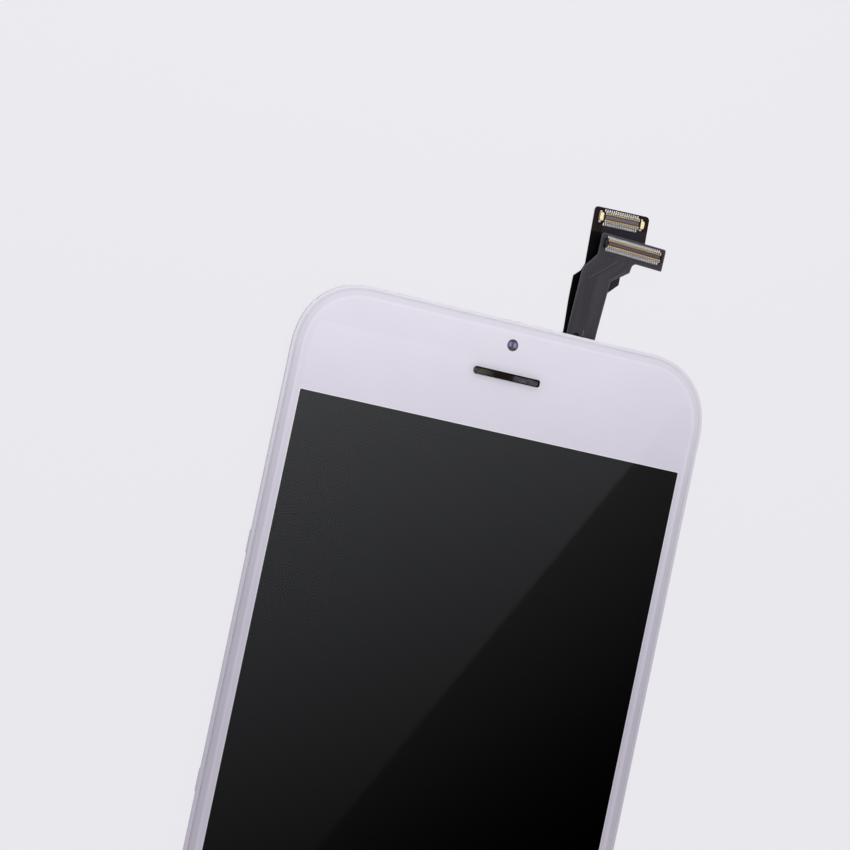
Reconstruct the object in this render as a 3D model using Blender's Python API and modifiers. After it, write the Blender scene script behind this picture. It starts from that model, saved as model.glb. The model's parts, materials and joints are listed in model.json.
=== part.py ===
"""Phone LCD screen assembly, white, lying on its back with the glass up.

Metres, +Z up. X runs across the phone, +Y towards its top edge. The origin is the
centre of the steel pan's rear face, which is also what the assembly rests on.
"""

import math

import bmesh
import bpy
from mathutils import Matrix, Vector

MM = 0.001

# Front of the phone, seen from above
WINDOW_WIDTH = 59.9 * MM
WINDOW_LENGTH = 105.45 * MM
BORDER_SIDE = 2.0 * MM
BORDER_END = 15.36 * MM
WINDOW_CORNER = 0.08 * MM
CORNER_REACH = 9.9 * MM
CORNER_POWER = 2.25
CORNER_STEPS = 12

# Cover glass
GLASS_THICKNESS = 0.75 * MM
GLASS_CURVE_WIDTH = 2.4 * MM
GLASS_CURVE_DROP = 0.62 * MM
GLASS_CURVE_STEPS = 6

# Earpiece slot, sensor dot and home button hole
SLOT_LENGTH = 10.3 * MM
SLOT_WIDTH = 1.08 * MM
SLOT_ABOVE_WINDOW = 7.94 * MM
DOT_DIAMETER = 1.7 * MM
DOT_ABOVE_WINDOW = 12.46 * MM
HOME_DIAMETER = 10.9 * MM
HOME_BELOW_WINDOW = 7.9 * MM

# Layers, from the rear face of the steel pan upwards
LAYER_GAP = 0.02 * MM
TRAY_SHEET = 0.15 * MM
REFLECTOR_THICKNESS = 0.08 * MM
LIGHT_GUIDE_THICKNESS = 0.45 * MM
FILM_THICKNESS = 0.08 * MM
TAPE_THICKNESS = 0.05 * MM
POLARISER_THICKNESS = 0.1 * MM
CELL_GLASS_THICKNESS = 0.2 * MM
ADHESIVE_THICKNESS = 0.12 * MM
TOUCH_FILM_THICKNESS = 0.12 * MM
INK_THICKNESS = 0.03 * MM

# Outlines of the cell and of the backlight
CELL_MARGIN_SIDE = 0.35 * MM
CELL_MARGIN_END = 1.3 * MM
CELL_LEDGE = 3.2 * MM
TRAY_MARGIN_SIDE = 0.8 * MM
TRAY_MARGIN_BOTTOM = 2.3 * MM
TRAY_MARGIN_TOP = 4.9 * MM
TRAY_WALL_HEIGHT = 0.92 * MM
TRAY_CORNER = 0.6 * MM
SHEET_CORNER = 0.4 * MM
RIM_WIDTH = 0.75 * MM
RIM_CORNER = 0.3 * MM
FIT_GAP = 0.06 * MM
TOUCH_MARGIN_TOP = 5.8 * MM

# Bezel frame, swept round the glass. Offsets are outwards from the edge of the glass.
LIP_OUTER = 0.52 * MM
LIP_INNER = 0.06 * MM
LIP_ABOVE_GLASS_UNDERSIDE = 0.02 * MM
LIP_ROUND = 0.1 * MM
LEDGE_INNER = 1.47 * MM
LEDGE_THICKNESS = 0.3 * MM
SKIRT_OUTER = 0.17 * MM
SKIRT_THICKNESS = 0.8 * MM
SKIRT_ABOVE_REST = 0.15 * MM
GLUE_THICKNESS = 0.03 * MM
GLUE_REACH = 1.0 * MM
WEB_START = 6.6 * MM
WEB_BITE = 0.4 * MM
WEB_STEP = 0.03 * MM
WEB_CLEARANCE = 0.25 * MM

# Sensor and earpiece seats
HOLDER_WALL = 0.45 * MM
HOLDER_HEIGHT = 0.95 * MM
LENS_OVERLAP = 0.15 * MM
LENS_THICKNESS = 0.4 * MM
MESH_THICKNESS = 0.06 * MM
MESH_OVERLAP = 0.45 * MM
MESH_COLUMNS = 34
MESH_ROWS = 5
MESH_WIRE = 0.045 * MM
GASKET_HEIGHT = 0.4 * MM
GASKET_WALL = 0.7 * MM

# Clips, hooks and screw tabs
CLIP_LENGTH = 3.2 * MM
CLIP_SHEET = 0.15 * MM
CLIP_BOW = 0.38 * MM
CLIP_HEIGHT = 1.35 * MM
CLIP_ABOVE_SKIRT_END = 0.1 * MM
CLIP_CROWN_LEVEL = 0.6 * MM
CLIP_CROWN_FLAT = 0.3 * MM
CLIP_INNER_FLAT = 0.2 * MM
CLIP_END_FLAT = 0.25 * MM
CLIP_INNER_END = 0.12 * MM
CLIP_PLACES = (30.8 * MM, -2.5 * MM, -36.0 * MM)
HOOK_WIDTH = 4.0 * MM
HOOK_SHEET = 0.3 * MM
HOOK_SEAT = 2.2 * MM
HOOK_FROM_SIDE = 10.95 * MM
TAB_WIDTH = 4.2 * MM
TAB_SHEET = 0.5 * MM
TAB_DEPTH = 2.6 * MM
TAB_HOLE_DIAMETER = 0.8 * MM
TAB_PLACE = 11.5 * MM

# Driver chip and diode strip
CHIP_LENGTH = 24.0 * MM
CHIP_WIDTH = 0.9 * MM
CHIP_HEIGHT = 0.25 * MM
CHIP_ABOVE_CELL = 0.5 * MM
LED_COUNT = 12
LED_WIDTH = 2.6 * MM
LED_DEPTH = 0.7 * MM
LED_HEIGHT = 0.42 * MM
LED_STRIP_WIDTH = 2.4 * MM
LED_STRIP_SHEET = 0.1 * MM
LED_ROW_MARGIN = 3.13 * MM

# Flexible circuits. Across, they start a fixed distance from the right edge of the glass.
# Lengthways, they are measured from its top edge. Turns are in degrees.
FLEX_FROM_SIDE = 23.9 * MM
FLEX_SHEET = 0.12 * MM
FLEX_BOND = 0.8 * MM
FLEX_NOTCH_SIDE = 0.6 * MM
FLEX_NOTCH_ROOF = 0.22 * MM
FLEX_NOTCH_DEPTH = 2.0 * MM
FLEX_STEPS = 12
FALL_STEPS = 5
HEAD_FLAT = 0.3 * MM
STIFFENER_SHEET = 0.15 * MM
STIFFENER_INSET = 0.1 * MM
STIFFENER_CORNER = 0.3 * MM

TOUCH_SHIFT = 0.33 * MM
TOUCH_WIDTH = 4.6 * MM
TOUCH_FALL_RUN = 2.0 * MM
TOUCH_NECK_START = 9.2 * MM
TOUCH_NECK_RUN = 1.2 * MM
TOUCH_LEAN_LEFT = 0.13 * MM
TOUCH_LEAN_RIGHT = 0.34 * MM
TOUCH_NECK_ROUND = 0.9 * MM
TOUCH_THROAT_ACROSS = 3.85 * MM
TOUCH_THROAT_RADIUS = 0.75 * MM
TOUCH_THROAT_DROP = 0.68 * MM
TOUCH_HEAD_START = 2.4 * MM
TOUCH_HEAD_LENGTH = 10.5 * MM
TOUCH_HEAD_LOW = 12.52 * MM
TOUCH_HEAD_HIGH = 15.73 * MM
TOUCH_HEAD_TURN = -1.4
TOUCH_CORNER = 0.35 * MM
TOUCH_SMALL_CORNER = 0.12 * MM
TOUCH_EXIT_LEVEL = 1.31 * MM
TOUCH_HEAD_LEVEL = 1.81 * MM
TOUCH_HOLE_DIAMETER = 1.2 * MM
TOUCH_HOLE_ACROSS = 1.55 * MM
TOUCH_HOLE_REACH = 0.45 * MM

DISPLAY_WIDTH = 5.05 * MM
DISPLAY_FALL_RUN = 3.0 * MM
DISPLAY_NECK_START = 6.85 * MM
DISPLAY_NECK_RUN = 2.3 * MM
DISPLAY_NECK_RISE = 2.3 * MM
DISPLAY_THROAT_RADIUS = 0.8 * MM
DISPLAY_SHOULDER_LOW = 9.0 * MM
DISPLAY_SHOULDER_MIDDLE = 9.95 * MM
DISPLAY_SHOULDER_HIGH = 11.15 * MM
DISPLAY_SHOULDER_ACROSS = 1.0 * MM
DISPLAY_HEAD_START = 1.25 * MM
DISPLAY_HEAD_LENGTH = 8.87 * MM
DISPLAY_HEAD_LOW = 13.6 * MM
DISPLAY_HEAD_HIGH = 19.59 * MM
DISPLAY_HEAD_TURN = 1.9
DISPLAY_CORNER = 0.55 * MM
DISPLAY_SMALL_CORNER = 0.3 * MM
DISPLAY_EXIT_LEVEL = 0.85 * MM
DISPLAY_HEAD_LEVEL = 0.3 * MM

# Board connectors. A row is the distance of the contacts from the middle line.
CONTACT_PITCH = 0.35 * MM
CONTACT_WIDTH = 0.16 * MM
CONTACT_FOOT_HEIGHT = 0.12 * MM
CONTACT_INSET = 0.09 * MM
CONNECTOR_HEIGHT = 0.6 * MM
CONNECTOR_FLOOR = 0.2 * MM
CONNECTOR_WALL = 0.37 * MM
CONNECTOR_END_WALL = 0.15 * MM
CONNECTOR_SEAT_GAP = 0.02 * MM
MOAT_GAP = 0.12 * MM
MOAT_END_GAP = 0.2 * MM
MOAT_CORNER = 0.06 * MM
TOUCH_CONTACTS = 25
TOUCH_ROW = 0.405 * MM
TOUCH_FOOT = 0.38 * MM
TOUCH_SOCKET_END = 0.42 * MM
TOUCH_SOCKET_FROM_END = 1.38 * MM
DISPLAY_CONTACTS = 16
DISPLAY_ROW = 0.455 * MM
DISPLAY_FOOT = 0.45 * MM
DISPLAY_SOCKET_END = 0.265 * MM
DISPLAY_SOCKET_FROM_END = 1.36 * MM
DISPLAY_SOCKET_SHIFT = -0.1 * MM
END_TAB_WIDTH = 0.56 * MM
END_TAB_LENGTH = 1.15 * MM
END_TAB_CHAMFER = 0.18 * MM
END_TAB_FOOT = 0.28 * MM
END_TAB_FOOT_WIDTH = 0.36 * MM
END_TAB_FOOT_HEIGHT = 0.12 * MM

# Places worked out from the sizes above
HALF_WINDOW = WINDOW_WIDTH / 2
WINDOW_END = WINDOW_LENGTH / 2
HALF_GLASS = HALF_WINDOW + BORDER_SIDE
GLASS_END = WINDOW_END + BORDER_END
SLOT_Y = WINDOW_END + SLOT_ABOVE_WINDOW
DOT_Y = WINDOW_END + DOT_ABOVE_WINDOW
HOME_Y = -WINDOW_END - HOME_BELOW_WINDOW
HALF_CELL = HALF_WINDOW + CELL_MARGIN_SIDE
CELL_END = WINDOW_END + CELL_MARGIN_END
LEDGE_END = CELL_END + CELL_LEDGE
HALF_TRAY = HALF_WINDOW + TRAY_MARGIN_SIDE
TRAY_BOTTOM = -WINDOW_END - TRAY_MARGIN_BOTTOM
TRAY_TOP = WINDOW_END + TRAY_MARGIN_TOP
TOUCH_TOP = WINDOW_END + TOUCH_MARGIN_TOP
HOOK_PLACE = HALF_GLASS - HOOK_FROM_SIDE
DISPLAY_LEFT = HALF_GLASS - FLEX_FROM_SIDE
DISPLAY_HEAD_LEFT = DISPLAY_LEFT + DISPLAY_HEAD_START
TOUCH_LEFT = DISPLAY_LEFT + TOUCH_SHIFT
TOUCH_HEAD_LEFT = DISPLAY_LEFT + TOUCH_HEAD_START

REFLECTOR_LOW = TRAY_SHEET + LAYER_GAP
GUIDE_LOW = REFLECTOR_LOW + REFLECTOR_THICKNESS + LAYER_GAP
DIFFUSER_LOW = GUIDE_LOW + LIGHT_GUIDE_THICKNESS + LAYER_GAP
PRISM_LOWER_LOW = DIFFUSER_LOW + FILM_THICKNESS + LAYER_GAP
PRISM_UPPER_LOW = PRISM_LOWER_LOW + FILM_THICKNESS + LAYER_GAP
TAPE_LOW = PRISM_UPPER_LOW + FILM_THICKNESS + LAYER_GAP
REAR_POLARISER_LOW = TAPE_LOW + TAPE_THICKNESS + LAYER_GAP
TRANSISTOR_LOW = REAR_POLARISER_LOW + POLARISER_THICKNESS + LAYER_GAP
TRANSISTOR_TOP = TRANSISTOR_LOW + CELL_GLASS_THICKNESS
FILTER_LOW = TRANSISTOR_TOP + LAYER_GAP
FRONT_POLARISER_LOW = FILTER_LOW + CELL_GLASS_THICKNESS + LAYER_GAP
ADHESIVE_LOWER_LOW = FRONT_POLARISER_LOW + POLARISER_THICKNESS + LAYER_GAP
TOUCH_LOW = ADHESIVE_LOWER_LOW + ADHESIVE_THICKNESS + LAYER_GAP
ADHESIVE_UPPER_LOW = TOUCH_LOW + TOUCH_FILM_THICKNESS + LAYER_GAP
INK_LOW = ADHESIVE_UPPER_LOW + ADHESIVE_THICKNESS + LAYER_GAP
GLASS_LOW = INK_LOW + INK_THICKNESS + LAYER_GAP
GLASS_TOP = GLASS_LOW + GLASS_THICKNESS
GLUE_LOW = INK_LOW - LAYER_GAP - GLUE_THICKNESS
LEDGE_TOP = GLUE_LOW - LAYER_GAP
LEDGE_LOW = LEDGE_TOP - LEDGE_THICKNESS

LENS_RADIUS = DOT_DIAMETER / 2 + LENS_OVERLAP
HOLDER_RADIUS = LENS_RADIUS + FIT_GAP + HOLDER_WALL

ASSEMBLY = bpy.data.collections.new("phone_lcd_screen_assembly")
CUTTERS = bpy.data.collections.new("cutters")


def clear_scene():
    for old in list(bpy.data.objects):
        bpy.data.objects.remove(old, do_unlink=True)
    for collection in (ASSEMBLY, CUTTERS):
        bpy.context.scene.collection.children.link(collection)


def finish(name, colour, roughness, metallic=0.0):
    made = bpy.data.materials.new(name)
    made.use_nodes = True
    shader = made.node_tree.nodes["Principled BSDF"]
    shader.inputs["Base Color"].default_value = (*colour, 1.0)
    shader.inputs["Roughness"].default_value = roughness
    shader.inputs["Metallic"].default_value = metallic
    made.diffuse_color = (*colour, 1.0)
    return made


def add_object(name, mesh, material=None, collection=None):
    made = bpy.data.objects.new(name, mesh)
    (collection or ASSEMBLY).objects.link(made)
    if material:
        mesh.materials.clear()
        mesh.materials.append(material)
    return made


def mesh_from(bm, name):
    bmesh.ops.recalc_face_normals(bm, faces=bm.faces)
    mesh = bpy.data.meshes.new(name)
    bm.to_mesh(mesh)
    bm.free()
    return mesh


def box_mesh(name, low, high):
    bm = bmesh.new()
    bmesh.ops.create_cube(bm, size=1.0)
    size = Vector(high) - Vector(low)
    middle = (Vector(high) + Vector(low)) / 2
    bmesh.ops.scale(bm, vec=size, verts=bm.verts)
    bmesh.ops.translate(bm, vec=middle, verts=bm.verts)
    return mesh_from(bm, name)


# Outlines, each a list of (x, y) points running anticlockwise


def arc(centre, radius, start, end, steps):
    points = []
    for i in range(steps + 1):
        angle = math.radians(start + (end - start) * i / steps)
        points.append((centre[0] + radius * math.cos(angle), centre[1] + radius * math.sin(angle)))
    return points


def circle(centre, radius, steps=32):
    return arc(centre, radius, 0, 360, steps)[:-1]


def stadium(centre, length, width, steps=8):
    reach = (length - width) / 2
    right = arc((centre[0] + reach, centre[1]), width / 2, -90, 90, steps)
    left = arc((centre[0] - reach, centre[1]), width / 2, 90, 270, steps)
    return right + left


def rounded_box(low, high, radius, steps=4):
    corners = (
        ((high[0] - radius, high[1] - radius), 0),
        ((low[0] + radius, high[1] - radius), 90),
        ((low[0] + radius, low[1] + radius), 180),
        ((high[0] - radius, low[1] + radius), 270),
    )
    points = []
    for centre, start in corners:
        points += arc(centre, radius, start, start + 90, steps)
    return points


def glass_outline():
    """The edge of the glass: straight sides, with corners that tighten gradually."""
    quarter = []
    for i in range(CORNER_STEPS + 1):
        angle = math.pi / 2 * i / CORNER_STEPS
        reach_x = math.cos(angle) ** (2 / CORNER_POWER) if i < CORNER_STEPS else 0.0
        reach_y = math.sin(angle) ** (2 / CORNER_POWER) if i else 0.0
        quarter.append((
            HALF_GLASS - CORNER_REACH * (1 - reach_x),
            GLASS_END - CORNER_REACH * (1 - reach_y),
        ))
    upper_left = [(-x, y) for x, y in reversed(quarter)]
    lower_left = [(-x, -y) for x, y in quarter]
    lower_right = [(x, -y) for x, y in reversed(quarter)]
    return quarter + upper_left + lower_left + lower_right


def offset(outline, distance):
    """The outline moved outwards by a distance, each point along its own mitre."""
    moved = []
    for i, point in enumerate(outline):
        before = Vector(outline[i - 1])
        here = Vector(point)
        after = Vector(outline[(i + 1) % len(outline)])
        first = (here - before).normalized()
        second = (after - here).normalized()
        normal = Vector((first.y + second.y, -first.x - second.x)).normalized()
        stretch = 1 / max(0.5, normal.dot(Vector((first.y, -first.x))))
        moved.append(tuple(here + normal * distance * stretch))
    return moved


# Flat pieces, as filled 2D curves with a thickness


def plate_mesh(name, loops, low, thickness):
    curve = bpy.data.curves.new(name, "CURVE")
    curve.dimensions = "2D"
    curve.fill_mode = "BOTH"
    curve.extrude = thickness / 2
    for loop in loops:
        spline = curve.splines.new("POLY")
        spline.points.add(len(loop) - 1)
        for point, (x, y) in zip(spline.points, loop):
            point.co = (x, y, 0.0, 1.0)
        spline.use_cyclic_u = True
    return curve_mesh(name, curve, (0, 0, low + thickness / 2))


def curve_mesh(name, curve, location=(0, 0, 0)):
    guide = bpy.data.objects.new(name + "_guide", curve)
    bpy.context.scene.collection.objects.link(guide)
    bpy.context.view_layer.update()
    graph = bpy.context.evaluated_depsgraph_get()
    mesh = bpy.data.meshes.new_from_object(guide.evaluated_get(graph))
    bpy.data.objects.remove(guide, do_unlink=True)
    bm = bmesh.new()
    bm.from_mesh(mesh)
    bmesh.ops.remove_doubles(bm, verts=bm.verts, dist=1e-7)
    bmesh.ops.translate(bm, vec=location, verts=bm.verts)
    bpy.data.meshes.remove(mesh)
    return mesh_from(bm, name)


def plate(name, loops, low, thickness, material):
    return add_object(name, plate_mesh(name, loops, low, thickness), material)


def layer(name, half_width, bottom, top, low, thickness, material, corner=SHEET_CORNER):
    outline = rounded_box((-half_width, bottom), (half_width, top), corner)
    return plate(name, [outline], low, thickness, material)


def combine(obj, other_mesh, operation, name):
    """A Boolean with a hidden helper that keeps the helper's own outline."""
    helper = add_object(name, other_mesh, collection=CUTTERS)
    helper.hide_render = True
    helper.display_type = "WIRE"
    step = obj.modifiers.new(name, "BOOLEAN")
    step.operation = operation
    step.solver = "EXACT"
    step.object = helper
    return helper


def cut(obj, cutter_mesh, name):
    return combine(obj, cutter_mesh, "DIFFERENCE", name)


def join(obj, added_mesh, name):
    return combine(obj, added_mesh, "UNION", name)


def smooth(obj, angle=35):
    obj.data.shade_smooth()
    obj.data.set_sharp_from_angle(angle=math.radians(angle))


# Glass and print


def make_cover_glass(material):
    """A flat sheet whose rim falls away in a quarter ellipse, cut by the slot and the hole."""
    land = GLASS_THICKNESS - GLASS_CURVE_DROP
    bm = bmesh.new()
    rim = [bm.verts.new((x, y, GLASS_LOW)) for x, y in glass_outline()]
    underside = bm.faces.new(rim)
    grown = bmesh.ops.extrude_face_region(bm, geom=[underside])
    raised = [v for v in grown["geom"] if isinstance(v, bmesh.types.BMVert)]
    bmesh.ops.translate(bm, vec=(0, 0, land), verts=raised)
    bm.faces.ensure_lookup_table()
    bmesh.ops.recalc_face_normals(bm, faces=bm.faces)
    top = max(bm.faces, key=lambda f: f.calc_center_median().z)
    for i in range(GLASS_CURVE_STEPS):
        start = math.pi / 2 * i / GLASS_CURVE_STEPS
        end = math.pi / 2 * (i + 1) / GLASS_CURVE_STEPS
        inward = GLASS_CURVE_WIDTH * (math.cos(start) - math.cos(end))
        rise = GLASS_CURVE_DROP * (math.sin(end) - math.sin(start))
        bmesh.ops.inset_region(bm, faces=[top], thickness=inward, depth=rise, use_even_offset=True)
    glass = add_object("cover_glass", mesh_from(bm, "cover_glass"), material)
    through = GLASS_THICKNESS * 3
    low = GLASS_LOW - GLASS_THICKNESS
    cut(glass, plate_mesh("slot_cut", [slot_outline()], low, through), "glass_slot")
    cut(glass, plate_mesh("home_cut", [home_outline()], low, through), "glass_home_hole")
    smooth(glass)
    return glass


def slot_outline(grow=0.0):
    return stadium((0, SLOT_Y), SLOT_LENGTH + 2 * grow, SLOT_WIDTH + 2 * grow)


def home_outline(grow=0.0):
    return circle((0, HOME_Y), HOME_DIAMETER / 2 + grow, 48)


def dot_outline(radius):
    return circle((0, DOT_Y), radius, 24)


def make_ink_border(material):
    window = rounded_box(
        (-HALF_WINDOW, -WINDOW_END), (HALF_WINDOW, WINDOW_END), WINDOW_CORNER, 2
    )
    loops = [
        offset(glass_outline(), -LIP_INNER),
        window,
        slot_outline(FIT_GAP),
        dot_outline(DOT_DIAMETER / 2),
        home_outline(FIT_GAP),
    ]
    return plate("ink_border", loops, INK_LOW, INK_THICKNESS, material)


# Cell, touch layer and backlight


def make_cell(finishes):
    below = -CELL_END
    layer("adhesive_upper", HALF_CELL, below, TOUCH_TOP, ADHESIVE_UPPER_LOW,
          ADHESIVE_THICKNESS, finishes["adhesive"])
    layer("touch_film", HALF_CELL, below, TOUCH_TOP, TOUCH_LOW,
          TOUCH_FILM_THICKNESS, finishes["film"])
    layer("adhesive_lower", HALF_CELL, below, CELL_END, ADHESIVE_LOWER_LOW,
          ADHESIVE_THICKNESS, finishes["adhesive"])
    layer("front_polariser", HALF_CELL - FIT_GAP, below + FIT_GAP, CELL_END - FIT_GAP,
          FRONT_POLARISER_LOW, POLARISER_THICKNESS, finishes["polariser"])
    layer("colour_filter_glass", HALF_CELL, below, CELL_END, FILTER_LOW,
          CELL_GLASS_THICKNESS, finishes["cell_glass"])
    layer("transistor_glass", HALF_CELL, below, LEDGE_END, TRANSISTOR_LOW,
          CELL_GLASS_THICKNESS, finishes["cell_glass"])
    layer("rear_polariser", HALF_CELL - FIT_GAP, below + FIT_GAP, CELL_END - FIT_GAP,
          REAR_POLARISER_LOW, POLARISER_THICKNESS, finishes["polariser"])
    chip_low = (-CHIP_LENGTH / 2, CELL_END + CHIP_ABOVE_CELL, TRANSISTOR_TOP + LAYER_GAP)
    chip_high = (CHIP_LENGTH / 2, chip_low[1] + CHIP_WIDTH, chip_low[2] + CHIP_HEIGHT)
    add_object("driver_chip", box_mesh("driver_chip", chip_low, chip_high), finishes["silicon"])


def rim_loops(outer_gap, width):
    """Outer and inner outline of a ring that sits inside the steel pan."""
    half = HALF_TRAY - TRAY_SHEET - outer_gap
    bottom = TRAY_BOTTOM + TRAY_SHEET + outer_gap
    top = TRAY_TOP - TRAY_SHEET - outer_gap
    outer = rounded_box((-half, bottom), (half, top), TRAY_CORNER)
    inner = rounded_box((-half + width, bottom + width), (half - width, top - width), RIM_CORNER)
    return [outer, inner]


def make_backlight(finishes):
    half = HALF_TRAY - TRAY_SHEET - FIT_GAP - RIM_WIDTH - FIT_GAP
    bottom = TRAY_BOTTOM + TRAY_SHEET + FIT_GAP + RIM_WIDTH + FIT_GAP
    top = TRAY_TOP - TRAY_SHEET - FIT_GAP - RIM_WIDTH - FIT_GAP
    lit_top = top - LED_STRIP_WIDTH - FIT_GAP
    guide_top = top - LED_DEPTH - 2 * FIT_GAP
    layer("reflector_film", half, bottom, top, REFLECTOR_LOW, REFLECTOR_THICKNESS,
          finishes["reflector"])
    layer("light_guide", half, bottom, guide_top, GUIDE_LOW, LIGHT_GUIDE_THICKNESS,
          finishes["acrylic"])
    layer("diffuser_film", half, bottom, lit_top, DIFFUSER_LOW, FILM_THICKNESS,
          finishes["film"])
    layer("prism_film_lower", half, bottom, lit_top, PRISM_LOWER_LOW, FILM_THICKNESS,
          finishes["film"])
    layer("prism_film_upper", half, bottom, lit_top, PRISM_UPPER_LOW, FILM_THICKNESS,
          finishes["film"])
    rim_low = TRAY_SHEET + LAYER_GAP
    rim_height = TAPE_LOW - LAYER_GAP - rim_low
    plate("backlight_frame", rim_loops(FIT_GAP, RIM_WIDTH), rim_low, rim_height,
          finishes["moulding"])
    plate("rim_tape", rim_loops(FIT_GAP, RIM_WIDTH), TAPE_LOW, TAPE_THICKNESS,
          finishes["tape"])
    make_led_strip(top, half, finishes["led"])
    make_tray(finishes["steel"])


def make_led_strip(top, half, material):
    """A thin strip over the end of the light guide, with diodes hanging from it."""
    strip_low = GUIDE_LOW + LIGHT_GUIDE_THICKNESS + LAYER_GAP
    strip = box_mesh("led_strip", (-half, top - LED_STRIP_WIDTH, strip_low),
                     (half, top, strip_low + LED_STRIP_SHEET))
    made = add_object("led_strip", strip, material)
    bm = bmesh.new()
    outermost = half - LED_ROW_MARGIN - LED_WIDTH / 2
    for middle in spread(-outermost, outermost, LED_COUNT - 1):
        place = Vector((middle, top - LED_DEPTH / 2, strip_low - LED_HEIGHT / 2 + LAYER_GAP))
        size = Matrix.Diagonal((LED_WIDTH, LED_DEPTH, LED_HEIGHT, 1.0))
        bmesh.ops.create_cube(bm, size=1.0, matrix=Matrix.Translation(place) @ size)
    join(made, mesh_from(bm, "led_row"), "led_row")


def make_tray(material):
    """The steel pan: a pressed sheet with four short upright walls."""
    outer = rounded_box((-HALF_TRAY, TRAY_BOTTOM), (HALF_TRAY, TRAY_TOP), TRAY_CORNER)
    tray = plate("backlight_tray", [outer], 0.0, TRAY_WALL_HEIGHT, material)
    inside = rounded_box(
        (-HALF_TRAY + TRAY_SHEET, TRAY_BOTTOM + TRAY_SHEET),
        (HALF_TRAY - TRAY_SHEET, TRAY_TOP - TRAY_SHEET),
        TRAY_CORNER - TRAY_SHEET,
    )
    cut(tray, plate_mesh("tray_inside", [inside], TRAY_SHEET, TRAY_WALL_HEIGHT), "tray_inside")


# Bezel frame


def rail_profile():
    """Section of the frame: x is outwards from the edge of the glass, y is height."""
    lip_top = GLASS_LOW + LIP_ABOVE_GLASS_UNDERSIDE
    skirt_inner = -SKIRT_OUTER - SKIRT_THICKNESS
    return [
        (LIP_OUTER, LEDGE_LOW),
        (LIP_OUTER, lip_top - LIP_ROUND),
        (LIP_OUTER - LIP_ROUND * 0.3, lip_top - LIP_ROUND * 0.3),
        (LIP_OUTER - LIP_ROUND, lip_top),
        (LIP_INNER, lip_top),
        (LIP_INNER, LEDGE_TOP),
        (-LEDGE_INNER, LEDGE_TOP),
        (-LEDGE_INNER, LEDGE_LOW),
        (skirt_inner, LEDGE_LOW),
        (skirt_inner, SKIRT_ABOVE_REST),
        (-SKIRT_OUTER, SKIRT_ABOVE_REST),
        (-SKIRT_OUTER, LEDGE_LOW),
    ]


def sweep_mesh(name, outline, profile):
    """A closed section swept round a closed outline: one loop drawn out to each of its points."""
    bm = bmesh.new()
    first = offset(outline, profile[0][0])
    loop = [bm.verts.new((x, y, profile[0][1])) for x, y in first]
    edges = [bm.edges.new((loop[i - 1], loop[i])) for i in range(len(loop))]
    place = {vert: i for i, vert in enumerate(loop)}
    for outward, height in profile[1:] + profile[:1]:
        grown = bmesh.ops.extrude_edge_only(bm, edges=edges)["geom"]
        edges = [g for g in grown if isinstance(g, bmesh.types.BMEdge) and is_new(g, place)]
        moved = offset(outline, outward)
        raised = {}
        for vert in {v for edge in edges for v in edge.verts}:
            source = next(e.other_vert(vert) for e in vert.link_edges if e.other_vert(vert) in place)
            raised[vert] = place[source]
        for vert, i in raised.items():
            vert.co = (moved[i][0], moved[i][1], height)
        place = raised
    bmesh.ops.remove_doubles(bm, verts=bm.verts, dist=1e-7)
    return mesh_from(bm, name)


def is_new(edge, place):
    return not any(vert in place for vert in edge.verts)


def web_mesh(name, end):
    """A thin web across one end of the frame. Its edge runs inside the ledge."""
    start = WINDOW_END + WEB_START
    edge = offset(glass_outline(), WEB_BITE - LEDGE_INNER)
    side = edge[0][0]
    beyond = sorted((x, y) for x, y in edge if y * end > start)
    outline = [(-side, start * end)] + beyond + [(side, start * end)]
    return plate_mesh(name, [outline], LEDGE_LOW + WEB_STEP, LEDGE_THICKNESS - 2 * WEB_STEP)


def make_bezel_frame(material):
    """The moulded rail with its two webs, opened for the seats, the button and the circuits."""
    frame = add_object(
        "bezel_frame", sweep_mesh("bezel_frame", glass_outline(), rail_profile()), material
    )
    join(frame, web_mesh("top_web", 1), "top_web")
    join(frame, web_mesh("bottom_web", -1), "bottom_web")
    openings = (
        ("gasket_opening", slot_outline(GASKET_WALL + WEB_CLEARANCE)),
        ("holder_opening", dot_outline(HOLDER_RADIUS + FIT_GAP)),
        ("button_opening", home_outline(WEB_CLEARANCE * 3)),
    )
    for name, outline in openings:
        cutter = plate_mesh(name, [outline], LEDGE_LOW - LEDGE_THICKNESS, 3 * LEDGE_THICKNESS)
        cut(frame, cutter, name)
    notch_low = (TOUCH_LEFT - FLEX_NOTCH_SIDE, GLASS_END - FLEX_NOTCH_DEPTH, 0.0)
    notch_high = (
        DISPLAY_LEFT + DISPLAY_WIDTH + FLEX_NOTCH_SIDE,
        GLASS_END,
        TOUCH_EXIT_LEVEL + FLEX_SHEET / 2 + FLEX_NOTCH_ROOF,
    )
    cut(frame, box_mesh("flex_notch", notch_low, notch_high), "flex_notch")
    smooth(frame)
    return frame


def make_frame_adhesive(material):
    loops = [offset(glass_outline(), -LIP_INNER), offset(glass_outline(), -GLUE_REACH)]
    plate("frame_adhesive", loops, GLUE_LOW, GLUE_THICKNESS, material)


# Sensor and earpiece seats


def make_sensor(finishes):
    holder_top = INK_LOW - LAYER_GAP
    holder = [dot_outline(HOLDER_RADIUS), dot_outline(LENS_RADIUS + FIT_GAP)]
    plate("sensor_holder", holder, holder_top - HOLDER_HEIGHT, HOLDER_HEIGHT,
          finishes["black_plastic"])
    bm = bmesh.new()
    place = Matrix.Translation((0, DOT_Y, holder_top - LENS_THICKNESS / 2))
    bmesh.ops.create_cone(bm, cap_ends=True, segments=24, radius1=LENS_RADIUS,
                          radius2=LENS_RADIUS, depth=LENS_THICKNESS, matrix=place)
    lens = add_object("sensor_lens", mesh_from(bm, "sensor_lens"), finishes["lens"])
    smooth(lens)


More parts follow.
